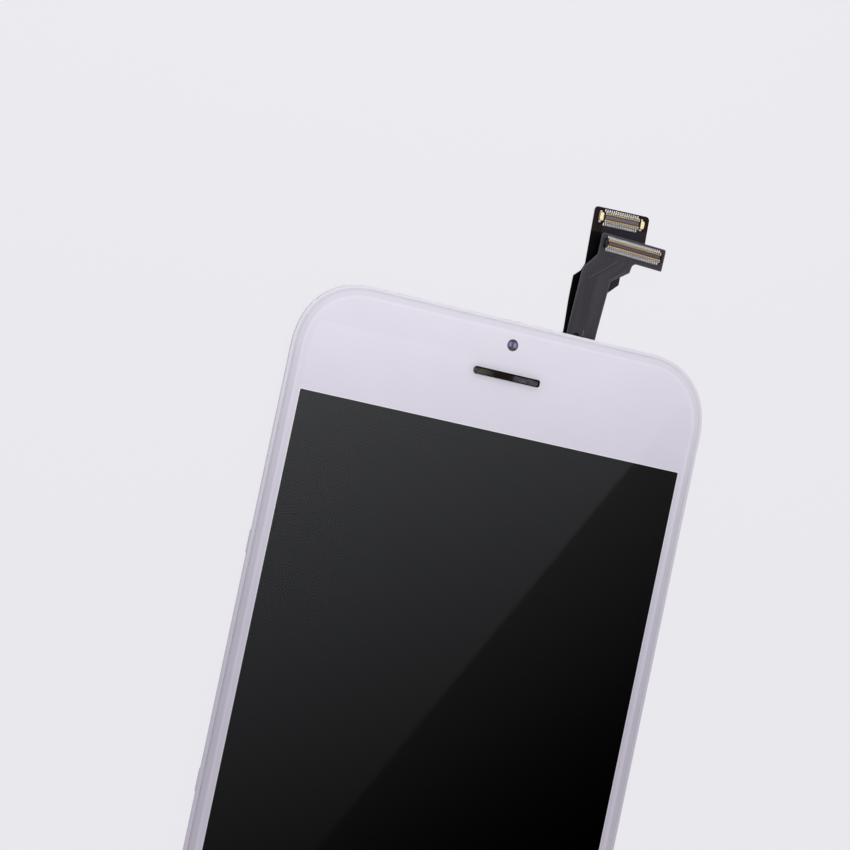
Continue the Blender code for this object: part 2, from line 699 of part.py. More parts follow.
def make_earpiece(finishes):
    """A woven mesh, drawn as a lattice of wires, on a foam ring."""
    length = SLOT_LENGTH + 2 * MESH_OVERLAP
    width = SLOT_WIDTH + 2 * MESH_OVERLAP
    top = INK_LOW - LAYER_GAP
    bm = bmesh.new()
    bmesh.ops.create_grid(bm, x_segments=MESH_COLUMNS, y_segments=MESH_ROWS, size=0.5)
    bmesh.ops.scale(bm, vec=(length, width, 1), verts=bm.verts)
    bmesh.ops.translate(bm, vec=(0, SLOT_Y, top - MESH_THICKNESS), verts=bm.verts)
    inset = bmesh.ops.inset_individual(bm, faces=list(bm.faces), thickness=MESH_WIRE)
    rims = set(inset["faces"])
    bmesh.ops.delete(bm, geom=[f for f in bm.faces if f not in rims], context="FACES")
    mesh = bpy.data.meshes.new("earpiece_mesh")
    bm.to_mesh(mesh)
    bm.free()
    woven = add_object("earpiece_mesh", mesh, finishes["mesh"])
    wall = woven.modifiers.new("wire_thickness", "SOLIDIFY")
    wall.thickness = MESH_THICKNESS
    wall.offset = 1.0
    ring = [slot_outline(GASKET_WALL), slot_outline(FIT_GAP)]
    plate("earpiece_gasket", ring, top - MESH_THICKNESS - LAYER_GAP - GASKET_HEIGHT,
          GASKET_HEIGHT, finishes["foam"])


# Steel parts that fix the frame


def side_profile_mesh(name, profile, length):
    """A bent strip: its section in X and Z, drawn out along Y."""
    bm = bmesh.new()
    corners = [bm.verts.new((x, -length / 2, z)) for x, z in profile]
    face = bm.faces.new(corners)
    grown = bmesh.ops.extrude_face_region(bm, geom=[face])
    moved = [v for v in grown["geom"] if isinstance(v, bmesh.types.BMVert)]
    bmesh.ops.translate(bm, vec=(0, length, 0), verts=moved)
    return mesh_from(bm, name)


def clip_profile():
    """A spring clip on the skirt: flat against it at both ends, bowed outwards between."""
    low = SKIRT_ABOVE_REST + CLIP_ABOVE_SKIRT_END
    high = low + CLIP_HEIGHT
    back = FIT_GAP
    front = back + CLIP_SHEET
    crown = CLIP_BOW
    middle = low + CLIP_CROWN_LEVEL
    return [
        (back, low),
        (front, low),
        (crown, middle - CLIP_CROWN_FLAT / 2),
        (crown, middle + CLIP_CROWN_FLAT / 2),
        (front, high - CLIP_END_FLAT),
        (front, high),
        (back, high),
        (back, high - CLIP_END_FLAT),
        (crown - CLIP_SHEET, middle + CLIP_INNER_FLAT / 2),
        (crown - CLIP_SHEET, middle - CLIP_INNER_FLAT / 2),
        (back, low + CLIP_INNER_END),
    ]


def make_clips(material):
    for side, sign in (("left", -1), ("right", 1)):
        for number, place in enumerate(CLIP_PLACES, 1):
            mesh = side_profile_mesh("side_clip", clip_profile(), CLIP_LENGTH)
            clip = add_object(f"side_clip_{side}_{number}", mesh, material)
            clip.location = (sign * (HALF_GLASS - SKIRT_OUTER), place, 0)
            clip.rotation_euler = (0, 0, 0 if sign > 0 else math.pi)


def hook_profile():
    """A top hook: a foot under the web and a leg that stands down behind the skirt."""
    seat = LEDGE_LOW - LAYER_GAP
    foot = SKIRT_THICKNESS + FIT_GAP
    return [
        (-foot - HOOK_SEAT, seat - HOOK_SHEET),
        (-foot - HOOK_SHEET, seat - HOOK_SHEET),
        (-foot - HOOK_SHEET, SKIRT_ABOVE_REST + FIT_GAP),
        (-foot, SKIRT_ABOVE_REST + FIT_GAP),
        (-foot, seat),
        (-foot - HOOK_SEAT, seat),
    ]


def make_hooks(material):
    for side, sign in (("left", -1), ("right", 1)):
        mesh = side_profile_mesh("top_hook", hook_profile(), HOOK_WIDTH)
        hook = add_object(f"top_hook_{side}", mesh, material)
        hook.location = (sign * HOOK_PLACE, GLASS_END - SKIRT_OUTER, 0)
        hook.rotation_euler = (0, 0, math.pi / 2)


def make_screw_tabs(material):
    """Bent tabs inside the bottom rail, each with a tapped hole for an edge screw."""
    seat = LEDGE_LOW - LAYER_GAP
    foot = SKIRT_THICKNESS + FIT_GAP
    low = SKIRT_ABOVE_REST + FIT_GAP
    profile = [
        (-foot - TAB_DEPTH, seat - TAB_SHEET),
        (-foot - TAB_SHEET, seat - TAB_SHEET),
        (-foot - TAB_SHEET, low),
        (-foot, low),
        (-foot, seat),
        (-foot - TAB_DEPTH, seat),
    ]
    hole_level = (low + seat - TAB_SHEET) / 2
    for side, sign in (("left", -1), ("right", 1)):
        mesh = side_profile_mesh("screw_tab", profile, TAB_WIDTH)
        tab = add_object(f"screw_tab_{side}", mesh, material)
        tab.location = (sign * TAB_PLACE, -GLASS_END + SKIRT_OUTER, 0)
        tab.rotation_euler = (0, 0, -math.pi / 2)
        bm = bmesh.new()
        turn = Matrix.Rotation(math.pi / 2, 4, "X")
        place = Matrix.Translation((
            sign * TAB_PLACE,
            -GLASS_END + SKIRT_OUTER + foot + TAB_SHEET / 2,
            hole_level,
        ))
        bmesh.ops.create_cone(bm, cap_ends=True, segments=20, radius1=TAB_HOLE_DIAMETER / 2,
                              radius2=TAB_HOLE_DIAMETER / 2, depth=TAB_SHEET * 2,
                              matrix=place @ turn)
        cut(tab, mesh_from(bm, "screw_hole"), f"screw_hole_{side}")


# Flexible circuits


def ease(value, start, end):
    share = min(1.0, max(0.0, (value - start) / (end - start)))
    return share * share * (3 - 2 * share)


def bent_sheet(name, loops, low, thickness, level, stations, material):
    """A flat circuit cut across at each station, then lifted to the level at each place."""
    mesh = plate_mesh(name, loops, low, thickness)
    bm = bmesh.new()
    bm.from_mesh(mesh)
    for y in stations:
        geometry = list(bm.verts) + list(bm.edges) + list(bm.faces)
        bmesh.ops.bisect_plane(bm, geom=geometry, dist=1e-8, plane_co=(0, y, 0),
                               plane_no=(0, 1, 0))
    for vert in bm.verts:
        vert.co.z += level(vert.co.y)
    bpy.data.meshes.remove(mesh)
    return add_object(name, mesh_from(bm, name), material)


def spread(start, end, steps):
    return [start + (end - start) * i / steps for i in range(steps + 1)]


def touch_level(y):
    """Height of the middle of the touch circuit: under the film, down, then slowly up."""
    bond = TOUCH_LOW - LAYER_GAP - FLEX_SHEET / 2
    fall = (TOUCH_EXIT_LEVEL - bond) * ease(y, TOUCH_TOP, TOUCH_TOP + TOUCH_FALL_RUN)
    flat_from = GLASS_END + TOUCH_HEAD_LOW - HEAD_FLAT
    rise = (TOUCH_HEAD_LEVEL - TOUCH_EXIT_LEVEL) * ease(y, GLASS_END, flat_from)
    return bond + fall + rise


def display_level(y):
    """Height of the middle of the display circuit: on the cell's ledge, then down."""
    bond = TRANSISTOR_TOP + LAYER_GAP + FLEX_SHEET / 2
    start = LEDGE_END + LAYER_GAP
    fall = (DISPLAY_EXIT_LEVEL - bond) * ease(y, start, LEDGE_END + DISPLAY_FALL_RUN)
    drop = (DISPLAY_HEAD_LEVEL - DISPLAY_EXIT_LEVEL) * ease(
        y, GLASS_END, GLASS_END + DISPLAY_NECK_START
    )
    return bond + fall + drop


def turned(points, centre, angle):
    """The points turned about a centre, in degrees anticlockwise."""
    turn = Matrix.Rotation(math.radians(angle), 2)
    middle = Vector(centre)
    return [tuple(middle + turn @ (Vector(point) - middle)) for point in points]


def head_centre(left, length, low, high):
    return (left + length / 2, GLASS_END + (low + high) / 2)


def touch_head_centre():
    return head_centre(TOUCH_HEAD_LEFT, TOUCH_HEAD_LENGTH, TOUCH_HEAD_LOW, TOUCH_HEAD_HIGH)


def display_head_centre():
    return head_centre(
        DISPLAY_HEAD_LEFT, DISPLAY_HEAD_LENGTH, DISPLAY_HEAD_LOW, DISPLAY_HEAD_HIGH
    )


def touch_outline():
    """Leaning strip, slanted neck and a turned head that reaches right past a rounded throat."""
    base = TOUCH_TOP - FLEX_BOND
    right = TOUCH_LEFT + TOUCH_WIDTH
    neck = GLASS_END + TOUCH_NECK_START
    low = GLASS_END + TOUCH_HEAD_LOW
    high = GLASS_END + TOUCH_HEAD_HIGH
    head_right = TOUCH_HEAD_LEFT + TOUCH_HEAD_LENGTH
    small = TOUCH_SMALL_CORNER
    corner = TOUCH_CORNER
    throat = (right + TOUCH_THROAT_ACROSS, low - TOUCH_THROAT_RADIUS)
    strip = [(TOUCH_LEFT, base), (right, base), (right, GLASS_END)]
    strip.append((right + TOUCH_LEAN_RIGHT, neck))
    strip.append((throat[0] - TOUCH_THROAT_RADIUS - small, throat[1] - TOUCH_THROAT_DROP))
    strip += arc(throat, TOUCH_THROAT_RADIUS, 165, 95, 5)
    head = arc((head_right - small, low + small), small, -90, 0, 2)
    head += arc((head_right - corner, high - corner), corner, 0, 90, 4)
    head += arc((TOUCH_HEAD_LEFT + corner, high - corner), corner, 90, 180, 4)
    head.append((TOUCH_HEAD_LEFT, low))
    left_side = [
        (TOUCH_LEFT + TOUCH_LEAN_LEFT + small, neck + TOUCH_NECK_RUN),
        (TOUCH_LEFT + TOUCH_LEAN_LEFT, neck + TOUCH_NECK_RUN - TOUCH_NECK_ROUND),
        (TOUCH_LEFT, GLASS_END),
    ]
    return strip + turned(head, touch_head_centre(), TOUCH_HEAD_TURN) + left_side


def display_outline():
    """Strip, short slanted neck and a turned head with two rounded corners."""
    base = LEDGE_END - FLEX_BOND
    right = DISPLAY_LEFT + DISPLAY_WIDTH
    neck = GLASS_END + DISPLAY_NECK_START
    low = GLASS_END + DISPLAY_HEAD_LOW
    high = GLASS_END + DISPLAY_HEAD_HIGH
    head_right = DISPLAY_HEAD_LEFT + DISPLAY_HEAD_LENGTH
    small = DISPLAY_SMALL_CORNER
    corner = DISPLAY_CORNER
    wide = right + DISPLAY_NECK_RUN
    throat = (wide + DISPLAY_THROAT_RADIUS, low - DISPLAY_THROAT_RADIUS)
    strip = [(DISPLAY_LEFT, base), (right, base), (right, neck)]
    strip.append((wide, neck + DISPLAY_NECK_RISE))
    strip += arc(throat, DISPLAY_THROAT_RADIUS, 180, 90, 4)
    head = arc((head_right - small, low + small), small, -90, 0, 3)
    head += arc((head_right - corner, high - corner), corner, 0, 90, 5)
    head += arc((DISPLAY_HEAD_LEFT + corner, high - corner), corner, 90, 180, 5)
    head.append((DISPLAY_HEAD_LEFT, GLASS_END + DISPLAY_SHOULDER_HIGH))
    left_side = [
        (DISPLAY_LEFT + DISPLAY_SHOULDER_ACROSS, GLASS_END + DISPLAY_SHOULDER_MIDDLE),
        (DISPLAY_LEFT, GLASS_END + DISPLAY_SHOULDER_LOW),
    ]
    return strip + turned(head, display_head_centre(), DISPLAY_HEAD_TURN) + left_side


def make_stiffener(name, centre, length, low, high, turn, level, material):
    """A thin plate behind a head, a little smaller than it all round."""
    half_x = length / 2 - STIFFENER_INSET
    half_y = (high - low) / 2 - STIFFENER_INSET
    outline = rounded_box(
        (centre[0] - half_x, centre[1] - half_y),
        (centre[0] + half_x, centre[1] + half_y),
        STIFFENER_CORNER,
    )
    base = level - FLEX_SHEET / 2 - LAYER_GAP - STIFFENER_SHEET
    plate(name, [turned(outline, centre, turn)], base, STIFFENER_SHEET, material)


def make_flexes(finishes):
    hole = circle(
        (TOUCH_LEFT + TOUCH_HOLE_ACROSS, GLASS_END + TOUCH_HOLE_REACH),
        TOUCH_HOLE_DIAMETER / 2,
        16,
    )
    hole_end = GLASS_END + TOUCH_HOLE_REACH + TOUCH_HOLE_DIAMETER
    touch_stations = spread(TOUCH_TOP, TOUCH_TOP + TOUCH_FALL_RUN, FALL_STEPS)
    touch_stations += spread(hole_end, GLASS_END + TOUCH_HEAD_LOW - HEAD_FLAT, FLEX_STEPS)
    bent_sheet("touch_flex", [touch_outline(), hole], -FLEX_SHEET / 2, FLEX_SHEET,
               touch_level, touch_stations, finishes["flex"])
    display_stations = spread(LEDGE_END + LAYER_GAP, LEDGE_END + DISPLAY_FALL_RUN, FALL_STEPS)
    display_stations += spread(GLASS_END, GLASS_END + DISPLAY_NECK_START, FLEX_STEPS)
    bent_sheet("display_flex", [display_outline()], -FLEX_SHEET / 2, FLEX_SHEET,
               display_level, display_stations, finishes["flex_dark"])
    make_stiffener("touch_stiffener", touch_head_centre(), TOUCH_HEAD_LENGTH, TOUCH_HEAD_LOW,
                   TOUCH_HEAD_HIGH, TOUCH_HEAD_TURN, TOUCH_HEAD_LEVEL, finishes["stiffener"])
    make_stiffener("display_stiffener", display_head_centre(), DISPLAY_HEAD_LENGTH,
                   DISPLAY_HEAD_LOW, DISPLAY_HEAD_HIGH, DISPLAY_HEAD_TURN, DISPLAY_HEAD_LEVEL,
                   finishes["stiffener"])


# Board connectors


def half_contact_row(contacts):
    return ((contacts - 1) * CONTACT_PITCH + CONTACT_WIDTH) / 2


def connector_mesh(name, contacts, half_length, half_width, foot):
    """The housing as a block, with a comb of soldered feet drawn out of each long side."""
    bm = bmesh.new()
    bmesh.ops.create_cube(bm, size=1.0)
    bmesh.ops.scale(bm, vec=(2 * half_length, 2 * half_width, CONNECTOR_HEIGHT), verts=bm.verts)
    bmesh.ops.translate(bm, vec=(0, 0, CONNECTOR_HEIGHT / 2), verts=bm.verts)
    for i in range(contacts):
        middle = (i - (contacts - 1) / 2) * CONTACT_PITCH
        for edge in (middle - CONTACT_WIDTH / 2, middle + CONTACT_WIDTH / 2):
            split_at(bm, (edge, 0, 0), (1, 0, 0))
    split_at(bm, (0, 0, CONTACT_FOOT_HEIGHT), (0, 0, 1))
    feet = [f for f in bm.faces if is_foot(f, half_width)]
    grown = bmesh.ops.extrude_discrete_faces(bm, faces=feet)
    for face in grown["faces"]:
        way = 1 if face.calc_center_median().y > 0 else -1
        bmesh.ops.translate(bm, vec=(0, way * foot, 0), verts=face.verts)
    return mesh_from(bm, name)


def moat_mesh(name, half_length, half_moat):
    """The space inside a connector's walls, less the tongue that stands in it."""
    end = half_length - CONNECTOR_END_WALL
    space = rounded_box((-end, -half_moat), (end, half_moat), MOAT_CORNER, 2)
    reach = end - MOAT_END_GAP
    half_tongue = half_moat - MOAT_GAP
    tongue = rounded_box((-reach, -half_tongue), (reach, half_tongue), MOAT_CORNER, 2)
    return plate_mesh(name, [space, tongue], CONNECTOR_FLOOR, CONNECTOR_HEIGHT)


def split_at(bm, place, normal):
    geometry = list(bm.verts) + list(bm.edges) + list(bm.faces)
    bmesh.ops.bisect_plane(bm, geom=geometry, dist=1e-8, plane_co=place, plane_no=normal)


def is_foot(face, half_width):
    """True on a low side face as wide as one contact."""
    middle = face.calc_center_median()
    span = max(v.co.x for v in face.verts) - min(v.co.x for v in face.verts)
    on_side = abs(abs(middle.y) - half_width) < 1e-6
    return on_side and middle.z < CONTACT_FOOT_HEIGHT and abs(span - CONTACT_WIDTH) < 1e-6


def make_connector(name, contacts, row, foot, end, place, turn, material):
    half_length = half_contact_row(contacts) + end
    half_moat = row - CONTACT_INSET
    half_width = half_moat + CONNECTOR_WALL
    body = connector_mesh(name, contacts, half_length, half_width, foot)
    made = add_object(name, body, material)
    cutter = cut(made, moat_mesh(name + "_moat", half_length, half_moat), name + "_moat")
    for obj in (made, cutter):
        obj.location = place
        obj.rotation_euler = (0, 0, math.radians(turn))


def make_end_tab(side, sign, place, turn, material):
    """A plated tab against one end of the shorter connector, standing on two soldered feet."""
    half_x = END_TAB_WIDTH / 2
    half_y = END_TAB_LENGTH / 2
    outer = sign * half_x
    inner_edge = [(-outer, -sign * half_y), (outer - sign * END_TAB_CHAMFER, -sign * half_y)]
    outer_edge = [
        (outer, -sign * (half_y - END_TAB_CHAMFER)),
        (outer, sign * (half_y - END_TAB_CHAMFER)),
    ]
    last_edge = [(outer - sign * END_TAB_CHAMFER, sign * half_y), (-outer, sign * half_y)]
    outline = inner_edge + outer_edge + last_edge
    name = f"display_tab_{side}"
    tab = plate(name, [outline], 0.0, CONNECTOR_HEIGHT, material)
    foot_x = END_TAB_FOOT_WIDTH / 2
    foot_y = half_y + END_TAB_FOOT
    feet = combine(tab, box_mesh(name + "_feet", (-foot_x, -foot_y, 0.0),
                                 (foot_x, foot_y, END_TAB_FOOT_HEIGHT)), "UNION", name + "_feet")
    for obj in (tab, feet):
        obj.location = place
        obj.rotation_euler = (0, 0, math.radians(turn))


def make_connectors(finishes):
    seat = FLEX_SHEET / 2 + CONNECTOR_SEAT_GAP
    middle = touch_head_centre()
    from_middle = (TOUCH_HEAD_HIGH - TOUCH_HEAD_LOW) / 2 - TOUCH_SOCKET_FROM_END
    centre = turned([(middle[0], middle[1] + from_middle)], middle, TOUCH_HEAD_TURN)[0]
    make_connector("touch_connector", TOUCH_CONTACTS, TOUCH_ROW, TOUCH_FOOT, TOUCH_SOCKET_END,
                   (*centre, TOUCH_HEAD_LEVEL + seat), TOUCH_HEAD_TURN, finishes["connector"])
    middle = display_head_centre()
    from_middle = (DISPLAY_HEAD_HIGH - DISPLAY_HEAD_LOW) / 2 - DISPLAY_SOCKET_FROM_END
    straight = (middle[0] + DISPLAY_SOCKET_SHIFT, middle[1] + from_middle)
    centre = turned([straight], middle, DISPLAY_HEAD_TURN)[0]
    level = DISPLAY_HEAD_LEVEL + seat
    make_connector("display_connector", DISPLAY_CONTACTS, DISPLAY_ROW, DISPLAY_FOOT,
                   DISPLAY_SOCKET_END, (*centre, level), DISPLAY_HEAD_TURN,
                   finishes["connector"])
    reach = half_contact_row(DISPLAY_CONTACTS) + DISPLAY_SOCKET_END + FIT_GAP + END_TAB_WIDTH / 2
    for side, sign in (("left", -1), ("right", 1)):
        place = turned([(straight[0] + sign * reach, straight[1])], middle, DISPLAY_HEAD_TURN)[0]
        make_end_tab(side, sign, (*place, level), DISPLAY_HEAD_TURN, finishes["gold"])


def make_finishes():
    return {
        "glass": finish("cover_glass", (0.75, 0.74, 0.8), 0.05),
        "ink": finish("white_ink", (0.72, 0.7, 0.78), 0.35),
        "white": finish("white_frame_plastic", (0.78, 0.77, 0.82), 0.4),
        "adhesive": finish("clear_adhesive", (0.9, 0.9, 0.88), 0.3),
        "film": finish("clear_film", (0.88, 0.88, 0.9), 0.3),
        "polariser": finish("polariser", (0.01, 0.01, 0.012), 0.25),
        "cell_glass": finish("cell_glass", (0.35, 0.4, 0.42), 0.1),
        "silicon": finish("chip_silicon", (0.05, 0.05, 0.06), 0.3),
        "reflector": finish("reflector_film", (0.9, 0.9, 0.92), 0.2),
        "acrylic": finish("light_guide_acrylic", (0.85, 0.87, 0.9), 0.1),
        "moulding": finish("white_polycarbonate", (0.8, 0.8, 0.8), 0.5),
        "tape": finish("black_tape", (0.02, 0.02, 0.02), 0.7),
        "led": finish("led_strip", (0.7, 0.6, 0.2), 0.5),
        "steel": finish("stainless_steel", (0.6, 0.6, 0.6), 0.35, 1.0),
        "black_plastic": finish("black_plastic", (0.02, 0.02, 0.02), 0.5),
        "lens": finish("sensor_lens", (0.03, 0.025, 0.06), 0.08),
        "mesh": finish("earpiece_mesh", (0.06, 0.05, 0.045), 0.6),
        "foam": finish("black_foam", (0.015, 0.015, 0.015), 0.9),
        "flex": finish("flex_grey", (0.05, 0.045, 0.055), 0.5),
        "flex_dark": finish("flex_black", (0.012, 0.01, 0.01), 0.5),
        "stiffener": finish("stiffener_steel", (0.5, 0.5, 0.5), 0.4, 1.0),
        "connector": finish("connector_nylon", (0.03, 0.028, 0.03), 0.5),
        "gold": finish("gold_plate", (0.9, 0.65, 0.3), 0.3, 1.0),
    }


def build():
    clear_scene()
    finishes = make_finishes()
    make_cover_glass(finishes["glass"])
    make_ink_border(finishes["ink"])
    make_cell(finishes)
    make_backlight(finishes)
    make_bezel_frame(finishes["white"])
    make_frame_adhesive(finishes["adhesive"])
    make_sensor(finishes)
    make_earpiece(finishes)
    make_clips(finishes["steel"])
    make_hooks(finishes["steel"])
    make_screw_tabs(finishes["steel"])
    make_flexes(finishes)
    make_connectors(finishes)


build()
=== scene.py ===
"""Looks of a white phone display assembly: its glass, print, panel, frame and circuits."""

import json
import math

import bmesh
import bpy
from mathutils import Matrix, Vector


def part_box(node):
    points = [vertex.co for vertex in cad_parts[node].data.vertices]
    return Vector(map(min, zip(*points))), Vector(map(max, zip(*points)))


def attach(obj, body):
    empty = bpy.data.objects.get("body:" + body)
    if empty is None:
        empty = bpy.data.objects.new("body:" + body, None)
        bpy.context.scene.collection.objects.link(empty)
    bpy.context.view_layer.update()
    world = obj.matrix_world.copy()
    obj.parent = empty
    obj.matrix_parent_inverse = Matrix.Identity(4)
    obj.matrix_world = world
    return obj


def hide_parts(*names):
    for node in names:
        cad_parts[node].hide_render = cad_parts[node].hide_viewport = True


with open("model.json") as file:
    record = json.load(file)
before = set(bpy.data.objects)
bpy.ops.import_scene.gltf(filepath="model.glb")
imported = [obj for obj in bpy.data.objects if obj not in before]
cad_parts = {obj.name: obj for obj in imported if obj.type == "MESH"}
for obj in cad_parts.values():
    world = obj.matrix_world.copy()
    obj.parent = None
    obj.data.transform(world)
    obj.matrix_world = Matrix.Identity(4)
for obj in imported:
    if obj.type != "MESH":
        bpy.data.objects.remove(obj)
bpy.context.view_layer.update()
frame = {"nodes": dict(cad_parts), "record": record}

# Lengths are in metres and angles in degrees, unless a note says otherwise
MM = 0.001


# Steel pan. A shallow pan drawn from thin stainless steel, which holds the backlight.
# The sheet was rolled along its length, so faint streaks run that way, and its bends are
# rounded by the press.

NOISE_LOW = 0.3
NOISE_HIGH = 0.7
MERGE_DISTANCE = 1e-7
FLAT_ANGLE = 0.5
HARD_ANGLE = 30
SHARP_IF_ROUNDED = 40
SHARP_IF_PLAIN = 20


def linear(code):
    """A colour written as sRGB hex, as the linear colour that a shader takes."""
    values = []
    for start in (0, 2, 4):
        share = int(code[start:start + 2], 16) / 255
        low = share / 12.92
        high = ((share + 0.055) / 1.055) ** 2.4
        values.append(low if share <= 0.04045 else high)
    return (*values, 1.0)


def node(tree, kind, inputs=(), **settings):
    """Adds one shader node: its settings, then its sockets, by name or in their order.

    Each socket gets a value, an output, or a node, which stands for its first output. A
    MapRange takes a value, its range, and the range that it is carried to if not 0 to 1.
    """
    made = tree.nodes.new("ShaderNode" + kind)
    for name, value in settings.items():
        setattr(made, name, value)
    sockets = inputs.items() if isinstance(inputs, dict) else enumerate(inputs)
    for name, value in sockets:
        if isinstance(value, bpy.types.Node):
            value = value.outputs[0]
        if isinstance(value, bpy.types.NodeSocket):
            tree.links.new(value, made.inputs[name])
        else:
            made.inputs[name].default_value = value
    return made


def blank(name):
    """A material with an empty node tree."""
    made = bpy.data.materials.new(name)
    made.use_nodes = True
    made.node_tree.nodes.clear()
    return made, made.node_tree


def mottled(tree, place, size, first, second, detail=2.0):
    """The colour of a surface that goes from one colour to another in patches of a size."""
    noise = {"Vector": place, "Scale": 1 / size, "Detail": detail}
    return node(tree, "MixRGB", (node(tree, "TexNoise", noise), first, second))


def surfaced(made, finish):
    """A material with its surface: a principled shader with the sockets of its finish."""
    shader = node(made.node_tree, "BsdfPrincipled", finish)
    node(made.node_tree, "OutputMaterial", {"Surface": shader})
    return made


def grained(name, main, second, patch, grain, gloss, relief, stretch=(1, 1, 1), **fixed):
    """Two close tones in soft patches, with a fine grain in roughness and height.

    patch, grain and relief are in mm, gloss is the roughness at NOISE_LOW and at
    NOISE_HIGH of the grain, and fixed holds what is the same all over.
    """
    made, tree = blank(name)
    place = node(tree, "TexCoord").outputs["Object"]
    along = node(tree, "Mapping", {"Vector": place, "Scale": stretch})
    colour = mottled(tree, along, patch * MM, linear(main), linear(second), 3.0)
    size = {"Vector": along, "Scale": 1 / (grain * MM), "Detail": 2.0}
    grains = node(tree, "TexNoise", size)
    rough = node(tree, "MapRange", (grains, NOISE_LOW, NOISE_HIGH, *gloss))
    normal = node(tree, "Bump", {"Height": grains, "Strength": 1.0, "Distance": relief * MM})
    finish = {"Base Color": colour, "Roughness": rough, "Normal": normal}
    for socket, value in fixed.items():
        finish[socket.replace("_", " ")] = value
    return surfaced(made, finish)


def dress(material, *names):
    """Gives the CAD nodes that keep their shape their material."""
    for name in names:
        for place in frame["nodes"][name].material_slots:
            place.material = material


def placed(name, bm, material):
    """Puts a finished bmesh into the scene."""
    mesh = bpy.data.meshes.new(name)
    bm.to_mesh(mesh)
    bm.free()
    mesh.materials.append(material)
    made = bpy.data.objects.new(name, mesh)
    bpy.context.scene.collection.objects.link(made)
    return made


def add_piece(name, bm, material, stands_for=()):
    """Turns a finished bmesh into a piece of the object."""
    piece = placed(name, bm, material)
    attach(piece, "root")
    if stands_for:
        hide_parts(*stands_for)
    return piece


def soften(piece, angle):
    """Shades a piece smooth, but for its edges above an angle."""
    piece.data.shade_smooth()
    piece.data.set_sharp_from_angle(angle=math.radians(angle))


def keep_flat(piece):
    """Lets the large faces of a piece set the shading at their edges."""
    even = piece.modifiers.new("flat_face_shading", "WEIGHTED_NORMAL")
    even.keep_sharp = True


def refined(node_name, name, material, rounding=0.0, steps=2):
    """A merged copy of a CAD node in its place, its hard edges rounded by some mm."""
    bm = bmesh.new()
    bm.from_mesh(frame["nodes"][node_name].data)
    bmesh.ops.remove_doubles(bm, verts=bm.verts, dist=MERGE_DISTANCE)
    flat = math.radians(FLAT_ANGLE)
    bmesh.ops.dissolve_limit(bm, angle_limit=flat, verts=bm.verts, edges=bm.edges)
    if rounding:
        least = math.radians(HARD_ANGLE)
        hard = [e for e in bm.edges if e.calc_face_angle(0.0) > least]
        bmesh.ops.bevel(bm, geom=hard, offset=rounding * MM, segments=steps, profile=0.5,
                        material=-1, affect="EDGES", clamp_overlap=True)
    piece = add_piece(name, bm, material, (node_name,))
    soften(piece, SHARP_IF_ROUNDED if rounding else SHARP_IF_PLAIN)
    if rounding:
        keep_flat(piece)
    return piece


ROLLED = (1.0, 0.06, 1.0)
pan_steel = grained("rolled_stainless_steel", "B4B3B0", "A3A2A0", patch=1.6, grain=0.12,
                    gloss=(0.26, 0.4), relief=0.0006, stretch=ROLLED, Metallic=1.0)
refined("backlight_tray", "drawn_steel_pan", pan_steel,
        rounding=0.06)


# Backlight. A moulded white rim in the pan holds a mirror film, a clear light guide, three
# thin films and the strip of diodes, and black tape closes it at the top.
# All of it is plain moulded or cut sheet, seen only through the openings at the ends.

moulded_rim = grained("white_polycarbonate", "E2E2DE", "D8D8D4", patch=0.8, grain=0.1,
                      gloss=(0.45, 0.6), relief=0.001)
mirror_film = grained("silvered_film", "E6E7E8", "DCDDDF", patch=2.0, grain=0.2,
                      gloss=(0.12, 0.2), relief=0.0003, Metallic=1.0)
guide_sheet = grained("light_guide_acrylic", "E4E8EA", "DADFE2", patch=0.6, grain=0.15,
                      gloss=(0.1, 0.2), relief=0.0004)
film_sheet = grained("matt_polyester_film", "E0E1E3", "D6D7DA", patch=0.9, grain=0.06,
                     gloss=(0.4, 0.55), relief=0.0008)
rim_tape_black = grained("black_adhesive_tape", "1A1A1B", "121213", patch=0.7, grain=0.08,
                         gloss=(0.6, 0.8), relief=0.001)
diode_board = grained("diode_strip_coverlay", "C8A24A", "B8923E", patch=0.5, grain=0.1,
                      gloss=(0.4, 0.55), relief=0.001)
dress(moulded_rim, "backlight_frame")
dress(mirror_film, "reflector_film")
dress(guide_sheet, "light_guide")
dress(film_sheet, "diffuser_film", "prism_film_lower", "prism_film_upper")
dress(rim_tape_black, "rim_tape")
dress(diode_board, "led_strip")


# Liquid crystal cell. Two thin sheets of glass between dyed polarising films, with a bare
# silicon driver chip on the lower one's ledge. Switched off it swallows nearly all light,
# and the clear glue over its films takes their gloss away.

CELL_GRAIN = 0.4 * MM

cell_glass = grained("bare_cell_glass", "5C6466", "525A5C", patch=1.5, grain=0.3,
                     gloss=(0.06, 0.12), relief=0.0002)
chip_silicon = grained("bare_silicon", "2A2A30", "202026", patch=0.4, grain=0.1,
                       gloss=(0.15, 0.25), relief=0.0003)


def dyed_film(name):
    """The dark dyed film, in two near blacks with the fine even grain of the cell."""
    made, tree = blank(name)
    place = node(tree, "TexCoord").outputs["Object"]
    colour = mottled(tree, place, CELL_GRAIN, linear("040405"), linear("030303"))
    finish = {"Base Color": colour, "Roughness": 0.8, "Specular IOR Level": 0.0}
    return surfaced(made, finish)


dress(cell_glass, "colour_filter_glass", "transistor_glass")
dress(chip_silicon, "driver_chip")
dress(dyed_film("polarising_film"), "front_polariser", "rear_polariser")


# Touch film and clear glue. The touch film lies between two sheets of optically clear
# glue, under the whole window and up to the flexible circuits.
# Bonded sheets of one optical density show no surface, only a trace of warmth.

CLEAR_PATCH = 6 * MM


